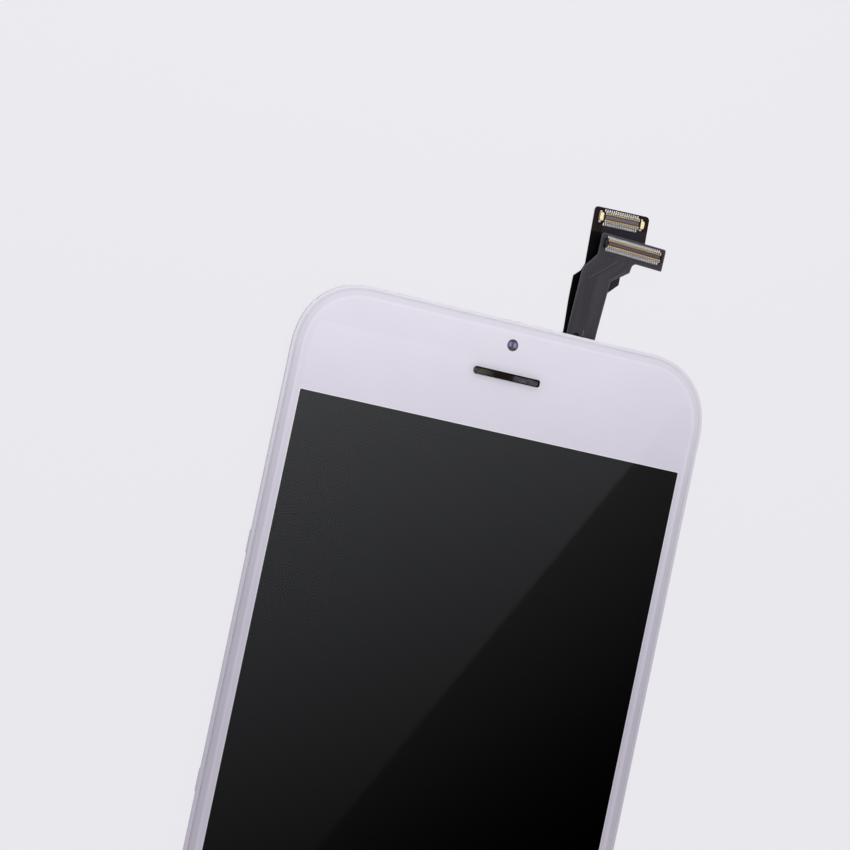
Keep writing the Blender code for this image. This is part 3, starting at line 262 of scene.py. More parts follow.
def clear_sheet(name, tone, other):
    """A bonded clear sheet, a little uneven in what it lets through."""
    made, tree = blank(name)
    place = node(tree, "TexCoord").outputs["Object"]
    colour = mottled(tree, place, CLEAR_PATCH, linear(tone), linear(other))
    shader = node(tree, "BsdfTransparent", {"Color": colour})
    node(tree, "OutputMaterial", {"Surface": shader})
    return made


dress(clear_sheet("optically_clear_glue", "FFFEFC", "FBFAF6"),
      "adhesive_upper", "adhesive_lower", "frame_adhesive")
dress(clear_sheet("coated_touch_film", "FEFEFC", "F9FAF7"), "touch_film")


# White print. Three coats of white ink, screen printed on the back of the glass, open at
# the window, the slot, the sensor and the button: a smooth, faintly violet white without
# gloss. Painted into its colour are a highlight along its edge at the window, and the
# bright line and the shades that the curved rim throws on it.

WINDOW_HALF_WIDTH = 29.95 * MM
WINDOW_HALF_LENGTH = 52.725 * MM
WINDOW_HIGHLIGHT_WIDTH = 0.16 * MM
CORNER_REACH = 9.9 * MM
CORNER_POWER = 2.25
INK_PATCH = 4 * MM
# The painted line and the painted shades lie this far inside the edge of the glass. The
# wider shade is weaker at the top end.
RIM_LINE = 1.15 * MM
RIM_LINE_SPREAD = 0.3 * MM
RIM_LINE_LIGHT = 1.04
SHADE_START = 1.1 * MM
SHADE_FULL = 0.8 * MM
SIDE_SHADE = 0.86
TOP_SHADE = 0.95
SIDES_END = 50 * MM
TOP_START = 66 * MM
EDGE_SHADE_START = 0.5 * MM
EDGE_SHADE_FULL = 0.15 * MM
EDGE_SHADE = 0.92

glass_low, glass_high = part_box("cover_glass")
HALF_GLASS = glass_high[0]
GLASS_END = glass_high[1]


def distance_to(tree, along, middle):
    """How far a coordinate lies from a middle, on either side of it."""
    off = node(tree, "Math", (along, middle), operation="SUBTRACT")
    return node(tree, "Math", (off,), operation="ABSOLUTE")


def distance_outside(tree, place, half_width, half_length):
    """How far a place lies outside a centred rectangle, by its nearer side."""
    split = node(tree, "SeparateXYZ", {"Vector": place}).outputs
    sides = []
    for axis, half in (("X", half_width), ("Y", half_length)):
        size = node(tree, "Math", (split[axis],), operation="ABSOLUTE")
        sides.append(node(tree, "Math", (size, half), operation="SUBTRACT"))
    return node(tree, "Math", sides, operation="MAXIMUM")


def distance_from_rim(tree, place):
    """How far a place lies inside the edge of the glass, round its corners too, and its y."""
    split = node(tree, "SeparateXYZ", {"Vector": place}).outputs
    powers = []
    for axis, half in (("X", HALF_GLASS), ("Y", GLASS_END)):
        size = node(tree, "Math", (split[axis],), operation="ABSOLUTE")
        share = node(tree, "MapRange", (size, half - CORNER_REACH, half))
        powers.append(node(tree, "Math", (share, CORNER_POWER), operation="POWER"))
    total = node(tree, "Math", powers, operation="ADD")
    root = node(tree, "Math", (total, 1 / CORNER_POWER), operation="POWER")
    return node(tree, "MapRange", (root, 1.0, 0.0, 0.0, CORNER_REACH)), split["Y"]


def painted_light_on_white_print(name):
    """White ink, with painted light from the rim: a bright line and two shades. A painted
    highlight runs along its edge at the window.
    """
    made, tree = blank(name)
    place = node(tree, "TexCoord").outputs["Object"]
    field = mottled(tree, place, INK_PATCH, linear("DFDDE9"), linear("DCD9E6"), 3.0)
    inside, along = distance_from_rim(tree, place)
    # Painted shade under the curved rim, paler towards the top end, and a painted darker band
    # at the edge of the glass
    shade = node(tree, "MapRange", (along, SIDES_END, TOP_START, SIDE_SHADE, TOP_SHADE))
    span = (inside, SHADE_FULL, SHADE_START, shade)
    under = node(tree, "MapRange", span, interpolation_type="SMOOTHSTEP")
    span = (inside, EDGE_SHADE_FULL, EDGE_SHADE_START, EDGE_SHADE)
    edge = node(tree, "MapRange", span, interpolation_type="SMOOTHSTEP")
    under = node(tree, "Math", (under, edge), operation="MULTIPLY")
    # Painted highlight: a bright line along the curved rim
    off = distance_to(tree, inside, RIM_LINE)
    span = (off, 0.0, RIM_LINE_SPREAD, RIM_LINE_LIGHT, 1.0)
    line = node(tree, "MapRange", span, interpolation_type="SMOOTHSTEP")
    light = node(tree, "Math", (under, line), operation="MULTIPLY")
    field = node(tree, "MixRGB", (1.0, field, light), blend_type="MULTIPLY")
    # Painted highlight: the print is paler in a thin line along its edge at the window
    away = distance_outside(tree, place, WINDOW_HALF_WIDTH, WINDOW_HALF_LENGTH)
    span = (away, 0.0, WINDOW_HIGHLIGHT_WIDTH, 1.0, 0.0)
    near = node(tree, "MapRange", span, interpolation_type="SMOOTHSTEP")
    colour = node(tree, "MixRGB", (near, field, linear("F6F5FA")))
    finish = {"Base Color": colour, "Roughness": 1.0, "Specular IOR Level": 0.0}
    return surfaced(made, finish)


dress(painted_light_on_white_print("white_print_and_painted_light"), "ink_border")


# Cover glass. Toughened glass, cut with a slot for the earpiece and a hole for the
# button, its rim ground and polished down in a soft curve.
# Its face mirrors one clean highlight. The underside is bonded, so nothing mirrors there.


def foot_of(node_name):
    """The middle of a CAD node's box, at its lowest level."""
    low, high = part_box(node_name)
    return ((low[0] + high[0]) / 2, (low[1] + high[1]) / 2, low[2])


GLASS_UNDERSIDE = glass_low[2]
GLASS_FACE = glass_high[2]
CORNER_STEPS = 28
RIM_WIDTH = 1.88 * MM
RIM_DROP = 0.62 * MM
RIM_STEPS = 16
HOLE_CHAMFER = 0.06 * MM
SLOT_Y = foot_of("earpiece_mesh")[1]
SLOT_LENGTH = 10.3 * MM
SLOT_WIDTH = 1.08 * MM
BUTTON_Y = -60.625 * MM
BUTTON_RADIUS = 5.45 * MM
BUTTON_STEPS = 64
MITRE_LIMIT = 0.5
SAME_POINT = 1e-8
LEVEL_SLACK = 1e-6
SMUDGE = 9 * MM
SMUDGE_SPAN = (0.35, 0.75)
SMUDGE_ROUGHNESS = 0.03


def glass_outline():
    """The edge of the glass: straight sides, with corners that tighten gradually."""
    quarter = []
    for i in range(CORNER_STEPS + 1):
        angle = math.pi / 2 * i / CORNER_STEPS
        reach_x = math.cos(angle) ** (2 / CORNER_POWER) if i < CORNER_STEPS else 0.0
        reach_y = math.sin(angle) ** (2 / CORNER_POWER) if i else 0.0
        x = HALF_GLASS - CORNER_REACH * (1 - reach_x)
        y = GLASS_END - CORNER_REACH * (1 - reach_y)
        quarter.append((x, y))
    upper_left = [(-x, y) for x, y in reversed(quarter)]
    lower_left = [(-x, -y) for x, y in quarter]
    lower_right = [(x, -y) for x, y in reversed(quarter)]
    return quarter + upper_left + lower_left + lower_right


def offset(outline, distance):
    """The outline moved outwards by a distance, each point along its own mitre."""
    moved = []
    for i, point in enumerate(outline):
        here = Vector(point)
        first = (here - Vector(outline[i - 1])).normalized()
        second = (Vector(outline[(i + 1) % len(outline)]) - here).normalized()
        normal = Vector((first.y + second.y, -first.x - second.x)).normalized()
        stretch = 1 / max(MITRE_LIMIT, normal.dot(Vector((first.y, -first.x))))
        moved.append(tuple(here + normal * distance * stretch))
    return moved


def arc(centre, radius, start, end, steps):
    """Points along an arc from one angle to another, in degrees, both ends included."""
    points = []
    for i in range(steps + 1):
        angle = math.radians(start + (end - start) * i / steps)
        x = centre[0] + radius * math.cos(angle)
        y = centre[1] + radius * math.sin(angle)
        points.append((x, y))
    return points


def stadium(middle_y, length, width, steps=12):
    """The outline of a slot with round ends, on the middle line of the glass."""
    reach = (length - width) / 2
    right = arc((reach, middle_y), width / 2, -90, 90, steps)
    return right + arc((-reach, middle_y), width / 2, 90, 270, steps)


def wall(bm, rings):
    """Rings of points at their heights, each bridged to the next: first and last edges."""
    loops = []
    for points, height in rings:
        corners = [bm.verts.new((x, y, height)) for x, y in points]
        edges = [bm.edges.new((corners[i - 1], corners[i])) for i in range(len(corners))]
        loops.append(edges)
    for lower, upper in zip(loops, loops[1:]):
        bmesh.ops.bridge_loops(bm, edges=lower + upper)
    return loops[0], loops[-1]


def make_cover_glass():
    """The glass: its rim in rings from the underside up, then both holes, then both faces.

    Material 1 is the bonded underside, and material 2 the slot's wall, drawn black as a
    painted shade.
    """
    bm = bmesh.new()
    outline = glass_outline()
    rings = [(outline, GLASS_UNDERSIDE)]
    for i in range(RIM_STEPS + 1):
        turn = math.pi / 2 * i / RIM_STEPS
        inward = RIM_WIDTH * (1 - math.cos(turn))
        height = GLASS_FACE - RIM_DROP * (1 - math.sin(turn))
        rings.append((offset(outline, -inward), height))
    below, above = wall(bm, rings)
    slot = stadium(SLOT_Y, SLOT_LENGTH, SLOT_WIDTH)
    button = arc((0, BUTTON_Y), BUTTON_RADIUS, 0, 360, BUTTON_STEPS)[:-1]
    for hole in (slot, button):
        rings = [
            (offset(hole, HOLE_CHAMFER), GLASS_UNDERSIDE),
            (hole, GLASS_UNDERSIDE + HOLE_CHAMFER),
            (hole, GLASS_FACE - HOLE_CHAMFER),
            (offset(hole, HOLE_CHAMFER), GLASS_FACE),
        ]
        low, high = wall(bm, rings)
        below = below + low
        above = above + high
    bmesh.ops.triangle_fill(bm, use_beauty=True, edges=above)
    bmesh.ops.triangle_fill(bm, use_beauty=True, edges=below)
    bmesh.ops.remove_doubles(bm, verts=bm.verts, dist=SAME_POINT)
    bmesh.ops.recalc_face_normals(bm, faces=bm.faces)
    for face in bm.faces:
        middle = face.calc_center_median()
        in_slot = abs(middle.x) < SLOT_LENGTH / 2 and abs(middle.y - SLOT_Y) < SLOT_WIDTH / 2
        if max(v.co.z for v in face.verts) < GLASS_UNDERSIDE + LEVEL_SLACK:
            face.material_index = 1
        elif in_slot:
            face.material_index = 2
    return bm


def polished_glass(name):
    """Clear glass. Lamps and light off the print pass straight through it, unbent."""
    made, tree = blank(name)
    place = node(tree, "TexCoord").outputs["Object"]
    smudges = node(tree, "TexNoise", {"Vector": place, "Scale": 1 / SMUDGE, "Detail": 4.0})
    rough = node(tree, "MapRange", (smudges, *SMUDGE_SPAN, 0.0, SMUDGE_ROUGHNESS))
    finish = {"Base Color": linear("FDFDFD"), "Transmission Weight": 1.0, "IOR": 1.5}
    finish["Roughness"] = rough
    glass = node(tree, "BsdfPrincipled", finish)
    clear = node(tree, "BsdfTransparent", {"Color": linear("F9F9F9")})
    path = node(tree, "LightPath").outputs
    inner = node(tree, "MixShader", (path["Is Diffuse Ray"], glass, clear))
    outer = node(tree, "MixShader", (path["Is Shadow Ray"], inner, clear))
    node(tree, "OutputMaterial", {"Surface": outer})
    return made


def lets_lamps_through(made):
    """A painted shade drawn opaque on the slot's wall, which is clear: it throws no shadow.
    """
    tree = made.node_tree
    last = next(n for n in tree.nodes if n.type == "OUTPUT_MATERIAL")
    shown = last.inputs["Surface"].links[0].from_socket
    passing = node(tree, "BsdfTransparent")
    shadow = node(tree, "LightPath").outputs["Is Shadow Ray"]
    both = node(tree, "MixShader", (shadow, shown, passing))
    tree.links.new(both.outputs["Shader"], last.inputs["Surface"])
    return made


cover = add_piece("polished_cover_glass", make_cover_glass(),
                  polished_glass("toughened_clear_glass"), ("cover_glass",))
cover.data.materials.append(clear_sheet("bonded_underside", "FFFFFF", "FCFCFC"))
# Painted shade: the dark seen in the slot's clear wall, drawn as black on it
slot_wall_painted_shade = grained("black_painted_shade_in_slot", "0B0A0D", "060507", patch=0.5, grain=0.08,
                 gloss=(0.6, 0.8), relief=0.0006)
cover.data.materials.append(lets_lamps_through(slot_wall_painted_shade))
soften(cover, angle=35)
keep_flat(cover)


# Frame. Moulded white plastic round the glass: a thin lip that shows beside it, a ledge
# under its edge and a skirt that drops into the housing.
# Satin from a finely eroded mould.

frame_plastic = grained("satin_white_plastic", "D8D6E0", "D1CFDA", patch=1.2, grain=0.12,
                        gloss=(0.34, 0.46), relief=0.0012)
refined("bezel_frame", "moulded_bezel_frame", frame_plastic)


# Sensor window. A dark violet filter pressed into a black moulded ring, behind the dot in
# the print above the earpiece.
# Two coated patches, over the lamp and the eye of the sensor, shine violet blue.

LENS_PLACE = foot_of("sensor_lens")
LENS_RIM_START = 0.62 * MM
LENS_RIM_FULL = 0.85 * MM
# Middle and half size of the two coated patches, which thin out round these sizes
PATCHES = (
    (-0.4 * MM, 65.26 * MM, 0.24 * MM, 0.32 * MM),
    (0.36 * MM, 65.24 * MM, 0.27 * MM, 0.36 * MM),
)
COATING_FULL = 0.5
COATING_GONE = 1.3
LENS_PATCH = 0.3 * MM

seat_plastic = grained("black_moulded_plastic", "1B1B1D", "131315", patch=0.6, grain=0.08,
                       gloss=(0.4, 0.55), relief=0.001)
dress(seat_plastic, "sensor_holder")


def filter_glass(name):
    """Dark glass with two violet patches and a darker rim."""
    made, tree = blank(name)
    place = node(tree, "TexCoord").outputs["Object"]
    split = node(tree, "SeparateXYZ", {"Vector": place}).outputs
    masks = []
    for x, y, half_width, half_height in PATCHES:
        reach = []
        for axis, middle, half in (("X", x, half_width), ("Y", y, half_height)):
            off = (distance_to(tree, split[axis], middle), half)
            reach.append(node(tree, "Math", off, operation="DIVIDE"))
        most = node(tree, "Math", reach, operation="MAXIMUM")
        masks.append(node(tree, "MapRange", (most, COATING_FULL, COATING_GONE, 1.0, 0.0)))
    coated = node(tree, "Math", masks, operation="MAXIMUM")
    dark = mottled(tree, place, LENS_PATCH, linear("232130"), linear("100E22"))
    colour = node(tree, "MixRGB", (coated, dark, linear("7F77AC")))
    middle = (*LENS_PLACE[:2], 0.0)
    flat = node(tree, "VectorMath", (place, (1.0, 1.0, 0.0)), operation="MULTIPLY")
    away = node(tree, "VectorMath", (flat, middle), operation="DISTANCE").outputs["Value"]
    rim = node(tree, "MapRange", (away, LENS_RIM_START, LENS_RIM_FULL))
    colour = node(tree, "MixRGB", (rim, colour, linear("0E0C1E")))
    finish = {"Base Color": colour, "Roughness": 0.12}
    return surfaced(made, finish)


dress(filter_glass("coated_filter_glass"), "sensor_lens")


# Earpiece. A dark woven wire mesh on a ring of black foam, behind the slot.
# The real weave has some six wires in a millimetre. It is drawn at five, so that it shows,
# with a thin cloth inside it, because nothing is seen through the real one.

WIRE_PITCH = 0.2 * MM
WIRE_RADIUS = 0.042 * MM
WIRE_SWING = 0.7
CLOTH = 0.008 * MM
GREY_END = -3.2 * MM
BROWN_START = -1.6 * MM
BROWN_END = 1.1 * MM
GREY_START = 1.6 * MM
WIRE_PATCH = 0.45 * MM
MESH_SHADE_START = 0.28 * MM
MESH_SHADE_FULL = 0.42 * MM

foam_black = grained("black_open_foam", "17171A", "0D0D0F", patch=0.3, grain=0.12,
                     gloss=(0.85, 1.0), relief=0.02)
dress(foam_black, "earpiece_gasket")


def woven_wires():
    """Wires in both directions, each passing over and under the ones that it crosses."""
    mesh_low, mesh_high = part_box("earpiece_mesh")
    middle = (mesh_low[2] + mesh_high[2]) / 2
    swing = (mesh_high[2] - mesh_low[2]) / 2 * WIRE_SWING
    columns = int((mesh_high[0] - mesh_low[0]) / WIRE_PITCH)
    rows = int((mesh_high[1] - mesh_low[1]) / WIRE_PITCH)
    curve = bpy.data.curves.new("woven_wires", "CURVE")
    curve.dimensions = "3D"
    curve.bevel_depth = WIRE_RADIUS
    curve.bevel_resolution = 1
    curve.use_fill_caps = True

    def lay(points):
        """Adds one wire through the points."""
        spline = curve.splines.new("POLY")
        spline.points.add(len(points) - 1)
        for corner, (x, y, z) in zip(spline.points, points):
            corner.co = (x, y, z, 1.0)

    xs = [(i - (columns - 1) / 2) * WIRE_PITCH for i in range(columns)]
    ys = [SLOT_Y + (j - (rows - 1) / 2) * WIRE_PITCH for j in range(rows)]
    for j, y in enumerate(ys):
        lay([(x, y, middle + swing * (-1) ** (i + j)) for i, x in enumerate(xs)])
    for i, x in enumerate(xs):
        lay([(x, y, middle - swing * (-1) ** (i + j)) for j, y in enumerate(ys)])
    guide = bpy.data.objects.new("woven_guide", curve)
    bpy.context.scene.collection.objects.link(guide)
    bpy.context.view_layer.update()
    graph = bpy.context.evaluated_depsgraph_get()
    drawn = bpy.data.meshes.new_from_object(guide.evaluated_get(graph))
    bpy.data.objects.remove(guide, do_unlink=True)
    bm = bmesh.new()
    bm.from_mesh(drawn)
    bpy.data.meshes.remove(drawn)
    size = (xs[-1] - xs[0], ys[-1] - ys[0], CLOTH)
    place = Matrix.Translation((0, SLOT_Y, middle)) @ Matrix.Diagonal((*size, 1.0))
    bmesh.ops.create_cube(bm, size=1.0, matrix=place)
    return bm


def blackened_wire(name):
    """Blackened wire, brown in the middle, grey at both ends, and painted shade at its rims.
    """
    made, tree = blank(name)
    place = node(tree, "TexCoord").outputs["Object"]
    split = node(tree, "SeparateXYZ", {"Vector": place}).outputs
    brown = node(tree, "MapRange", (split["X"], GREY_END, BROWN_START))
    left = node(tree, "MixRGB", (brown, linear("737167"), linear("2C1F1E")))
    grey = node(tree, "MapRange", (split["X"], BROWN_END, GREY_START))
    whole = node(tree, "MixRGB", (grey, left, linear("78767A")))
    colour = mottled(tree, place, WIRE_PATCH, whole, linear("120E0E"))
    # Painted shade: the mesh darkens towards the long sides of the slot
    off = distance_to(tree, split["Y"], SLOT_Y)
    painted_rim_shade = node(tree, "MapRange", (off, MESH_SHADE_START, MESH_SHADE_FULL))
    colour = node(tree, "MixRGB", (painted_rim_shade, colour, linear("0E0C0D")))
    finish = {"Base Color": colour, "Roughness": 0.65, "Specular IOR Level": 0.12}
    return surfaced(made, finish)


woven = add_piece("woven_earpiece_mesh", woven_wires(), blackened_wire("blackened_wire"),
                  ("earpiece_mesh",))
soften(woven, angle=60)


# Steel fixings. Spring clips on the long sides, hooks under the top web and screw tabs in
# the bottom rail, all cut and bent from bright stainless strip.
# The press leaves their edges slightly round, so each edge catches a line of light.

ROLLED_ACROSS = (0.1, 1.0, 1.0)
strip_steel = grained("bent_stainless_strip", "BDBBB7", "AAA8A5", patch=0.9, grain=0.09,
                      gloss=(0.24, 0.38), relief=0.0008, stretch=ROLLED_ACROSS, Metallic=1.0)
for side in ("left", "right"):
    for number in (1, 2, 3):
        refined(f"side_clip_{side}_{number}", f"bowed_side_clip_{side}_{number}",
                strip_steel, rounding=0.025)
    refined(f"top_hook_{side}", f"bent_top_hook_{side}", strip_steel,
            rounding=0.04)
    refined(f"screw_tab_{side}", f"tapped_screw_tab_{side}", strip_steel,
            rounding=0.05)
dress(strip_steel, "touch_stiffener", "display_stiffener")


# Display circuit. A black flexible circuit from the ledge of the cell, the lower of the
# two: copper tracks between polyimide films, which show as faint ridges.
# Round its connector the coverlay is cut back, and the film under it is a shade browner.

STRIP_END = 77.4 * MM
HEAD_START = 80.6 * MM
TRACK_PITCH = 0.36 * MM
TRACKS_FADE = 0.7
LINE_SOFTNESS = 0.05 * MM
FILM_GRAIN = 0.14 * MM
FILM_PATCH = 1.1 * MM
STREAK_WIDTH = 0.7 * MM
STREAK_STRETCH = 0.06
STREAK_SPAN = (0.35, 0.65)
STREAK_DARK = 0.78
STREAK_LIGHT = 1.12
REGION_LEAST = 0.85


def beyond(tree, place, x, y, towards):
    """1 on the side of a line that an angle points to, 0 on the other. x and y are in mm."""
    way = (math.cos(math.radians(towards)), math.sin(math.radians(towards)), 0.0)
    far = node(tree, "VectorMath", (place, way), operation="DOT_PRODUCT")
    middle = (x * way[0] + y * way[1]) * MM
    span = (far.outputs["Value"], middle - LINE_SOFTNESS, middle + LINE_SOFTNESS)
    return node(tree, "MapRange", span)


def stripe(start, end, width):
    """The four lines round a narrow straight stripe from one point to another, in mm."""
    heading = math.atan2(end[1] - start[1], end[0] - start[0])
    x = -math.sin(heading) * width / 2
    y = math.cos(heading) * width / 2
    along = math.degrees(heading)
    right = (start[0] - x, start[1] - y, along + 90)
    left = (start[0] + x, start[1] + y, along - 90)
    return (right, left, (*start, along), (*end, along + 180))


def circuit_film(name, main, second, regions, lean, gloss, track, specular):
    """Film over tracks that run up the strip, lean right at the neck and end at the head.

    Each region is a colour, a height in ridges of a track and the lines that bound it.
    lean is how far the neck goes to the right, and track the height of a ridge in mm.
    """
    made, tree = blank(name)
    place = node(tree, "TexCoord").outputs["Object"]
    split = node(tree, "SeparateXYZ", {"Vector": place}).outputs
    span = (split["Y"], STRIP_END, HEAD_START)
    rise = node(tree, "MapRange", span, interpolation_type="SMOOTHSTEP")
    shift = node(tree, "Math", (rise, -lean), operation="MULTIPLY")
    across = node(tree, "Math", (split["X"], shift), operation="ADD")
    turns = node(tree, "Math", (across, 2 * math.pi / TRACK_PITCH), operation="MULTIPLY")
    ridge = node(tree, "Math", (turns,), operation="SINE")
    fade = node(tree, "MapRange", (rise, TRACKS_FADE, 1.0, 1.0, 0.0))
    ridge = node(tree, "Math", (ridge, fade), operation="MULTIPLY")
    grains = node(tree, "TexNoise", {"Vector": place, "Scale": 1 / FILM_GRAIN, "Detail": 3.0})
    relief = node(tree, "Math", (ridge, grains), operation="ADD")
    size = {"Vector": place, "Scale": 1 / FILM_PATCH, "Detail": 3.0}
    patches = node(tree, "TexNoise", size)
    colour = node(tree, "MixRGB", (patches, linear(main), linear(second)))
    along = node(tree, "Math", (split["Y"], STREAK_STRETCH), operation="MULTIPLY")
    drawn = node(tree, "CombineXYZ", {"X": across, "Y": along})
    size = {"Vector": drawn, "Scale": 1 / STREAK_WIDTH, "Detail": 2.0}
    streaks = node(tree, "TexNoise", size)
    streaks = node(tree, "MapRange", (streaks, *STREAK_SPAN, STREAK_DARK, STREAK_LIGHT))
    colour = node(tree, "MixRGB", (1.0, colour, streaks), blend_type="MULTIPLY")
    uneven = node(tree, "MapRange", (patches, NOISE_LOW, NOISE_HIGH, REGION_LEAST, 1.0))
    for tone, step, lines in regions:
        share = uneven
        for line in lines:
            both = (share, beyond(tree, place, *line))
            share = node(tree, "Math", both, operation="MULTIPLY")
        colour = node(tree, "MixRGB", (share, colour, linear(tone)))
        if step:
            relief = node(tree, "Math", (share, step, relief), operation="MULTIPLY_ADD")
    normal = node(tree, "Bump", {"Height": relief, "Strength": 1.0, "Distance": track * MM})
    rough = node(tree, "MapRange", (grains, NOISE_LOW, NOISE_HIGH, *gloss))
    finish = {"Base Color": colour, "Roughness": rough, "Normal": normal}
    finish["Specular IOR Level"] = specular
    return surfaced(made, finish)


# Each line is a point on it in mm and the angle of the side that is inside. In order: the
# right foot of the neck, the browner film of the head, the coverlay at the head's lower
# right, and a patch beside the glass.
DISPLAY_REGIONS = (
    ("2A2629", 0.0, ((13.3, 77.0, 0), (13.3, 79.4, -90))),
    ("1D1415", 3.0, ((9.37, 83.87, 96.7),)),
    ("242127", 0.0, ((11.0, 84.0, 0), (11.0, 85.1, -86), (11.0, 80.6, 90))),
    ("28252A", 0.0, ((8.95, 68.0, 0), (10.95, 68.0, 180), (9.9, 70.1, -90))),
)
black_coverlay = circuit_film("black_coverlay", "060405", "030203", DISPLAY_REGIONS,
                              lean=1.25 * MM, gloss=(0.5, 0.7), track=0.002, specular=0.1)
dress(black_coverlay, "display_flex")


# Touch circuit. The grey flexible circuit from the touch film, above the other one, with
# a hole at the glass where the two are lined up.
# Its coverlay stops short of the edge, so a paler rim of bare film runs round it.

FLEX_SHEET = 0.12 * MM
COVERLAY_INSET = 0.17 * MM
COVERLAY_SHEET = 0.012 * MM
TOUCH_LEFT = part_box("touch_flex")[0][0]
TOUCH_WIDTH = 4.6 * MM
TOUCH_NECK_START = 9.2 * MM
TOUCH_NECK_RUN = 1.2 * MM
TOUCH_NECK_ROUND = 0.9 * MM
TOUCH_LEAN_LEFT = 0.13 * MM
TOUCH_LEAN_RIGHT = 0.34 * MM
TOUCH_THROAT_ACROSS = 3.85 * MM
TOUCH_THROAT_RADIUS = 0.75 * MM
TOUCH_THROAT_DROP = 0.68 * MM
TOUCH_HEAD_LEFT = 10.45 * MM
TOUCH_HEAD_LENGTH = 10.5 * MM
TOUCH_HEAD_LOW = 12.52 * MM
TOUCH_HEAD_HIGH = 15.73 * MM
TOUCH_HEAD_TURN = -1.4
TOUCH_CORNER = 0.35 * MM
TOUCH_SMALL_CORNER = 0.12 * MM
TOUCH_EXIT_LEVEL = 1.31 * MM
TOUCH_HEAD_LEVEL = 1.81 * MM
COVERLAY_FROM_GLASS = 0.115 * MM
HOLE_RADIUS = 0.6 * MM
HOLE_ACROSS = 1.55 * MM
HOLE_REACH = 0.45 * MM
HOLE_MARGIN = 0.05 * MM
HOLE_STEPS = 24
HEAD_FLAT = 0.3 * MM
BEND_STEPS = 12
GLUE_LINE = 0.002 * MM

bare_film = grained("bare_polyimide_film", "3F3E46", "37363D", patch=0.8, grain=0.1,
                    gloss=(0.45, 0.6), relief=0.001)
dress(bare_film, "touch_flex")


def turned(points, centre, angle):
    """The points, turned about a centre by an angle in degrees."""
    turn = Matrix.Rotation(math.radians(angle), 2)
    middle = Vector(centre)
    return [tuple(middle + turn @ (Vector(point) - middle)) for point in points]


def ease(value, start, end):
    """0 up to the start, 1 from the end on, and a smooth rise between them."""
    share = min(1.0, max(0.0, (value - start) / (end - start)))
    return share * share * (3 - 2 * share)


def touch_level(y):
    """Height of the middle of the touch circuit beyond the glass, as the CAD has it."""
    flat_from = GLASS_END + TOUCH_HEAD_LOW - HEAD_FLAT
    rise = (TOUCH_HEAD_LEVEL - TOUCH_EXIT_LEVEL) * ease(y, GLASS_END, flat_from)
    return TOUCH_EXIT_LEVEL + rise


def coverlay_outline():
    """The circuit's own outline from the glass on, set in: strip, neck, throat and head."""
    strip_right = TOUCH_LEFT + TOUCH_WIDTH
    neck = GLASS_END + TOUCH_NECK_START
    low = GLASS_END + TOUCH_HEAD_LOW
    high = GLASS_END + TOUCH_HEAD_HIGH
    right = TOUCH_HEAD_LEFT + TOUCH_HEAD_LENGTH
    small = TOUCH_SMALL_CORNER
    corner = TOUCH_CORNER
    throat = (strip_right + TOUCH_THROAT_ACROSS, low - TOUCH_THROAT_RADIUS)
    start = GLASS_END + COVERLAY_FROM_GLASS
    strip = [(TOUCH_LEFT, start), (strip_right, start)]
    strip.append((strip_right + TOUCH_LEAN_RIGHT, neck))
    strip.append((throat[0] - TOUCH_THROAT_RADIUS - small, throat[1] - TOUCH_THROAT_DROP))
    strip += arc(throat, TOUCH_THROAT_RADIUS, 165, 95, 5)
    head = arc((right - small, low + small), small, -90, 0, 2)
    head += arc((right - corner, high - corner), corner, 0, 90, 4)
    head += arc((TOUCH_HEAD_LEFT + corner, high - corner), corner, 90, 180, 4)
    head.append((TOUCH_HEAD_LEFT, low))
    centre = (TOUCH_HEAD_LEFT + TOUCH_HEAD_LENGTH / 2, (low + high) / 2)
    head = turned(head, centre, TOUCH_HEAD_TURN)
    left_side = [
        (TOUCH_LEFT + TOUCH_LEAN_LEFT + small, neck + TOUCH_NECK_RUN),
        (TOUCH_LEFT + TOUCH_LEAN_LEFT, neck + TOUCH_NECK_RUN - TOUCH_NECK_ROUND),
    ]
    return offset(strip + head + left_side, -COVERLAY_INSET)


def make_coverlay():
    """A sheet with its hole, cut across where the circuit bends and laid on it."""
    bm = bmesh.new()
    outline = coverlay_outline()
    low, high = wall(bm, [(outline, 0.0), (outline, COVERLAY_SHEET)])
    centre = (TOUCH_LEFT + HOLE_ACROSS, GLASS_END + HOLE_REACH)
    hole = arc(centre, HOLE_RADIUS + HOLE_MARGIN, 0, 360, HOLE_STEPS)[:-1]
    under, over = wall(bm, [(hole, 0.0), (hole, COVERLAY_SHEET)])
    bmesh.ops.triangle_fill(bm, use_beauty=True, edges=low + under)
    bmesh.ops.triangle_fill(bm, use_beauty=True, edges=high + over)
    first = GLASS_END + HOLE_REACH + 2 * HOLE_RADIUS
    last = GLASS_END + TOUCH_HEAD_LOW - HEAD_FLAT
    for i in range(BEND_STEPS + 1):
        cut = first + (last - first) * i / BEND_STEPS
        everything = list(bm.verts) + list(bm.edges) + list(bm.faces)
        bmesh.ops.bisect_plane(bm, geom=everything, dist=SAME_POINT, plane_co=(0, cut, 0),
                               plane_no=(0, 1, 0))
    for vert in bm.verts:
        vert.co.z += touch_level(vert.co.y) + FLEX_SHEET / 2 + GLUE_LINE
    bmesh.ops.recalc_face_normals(bm, faces=bm.faces)
    return bm


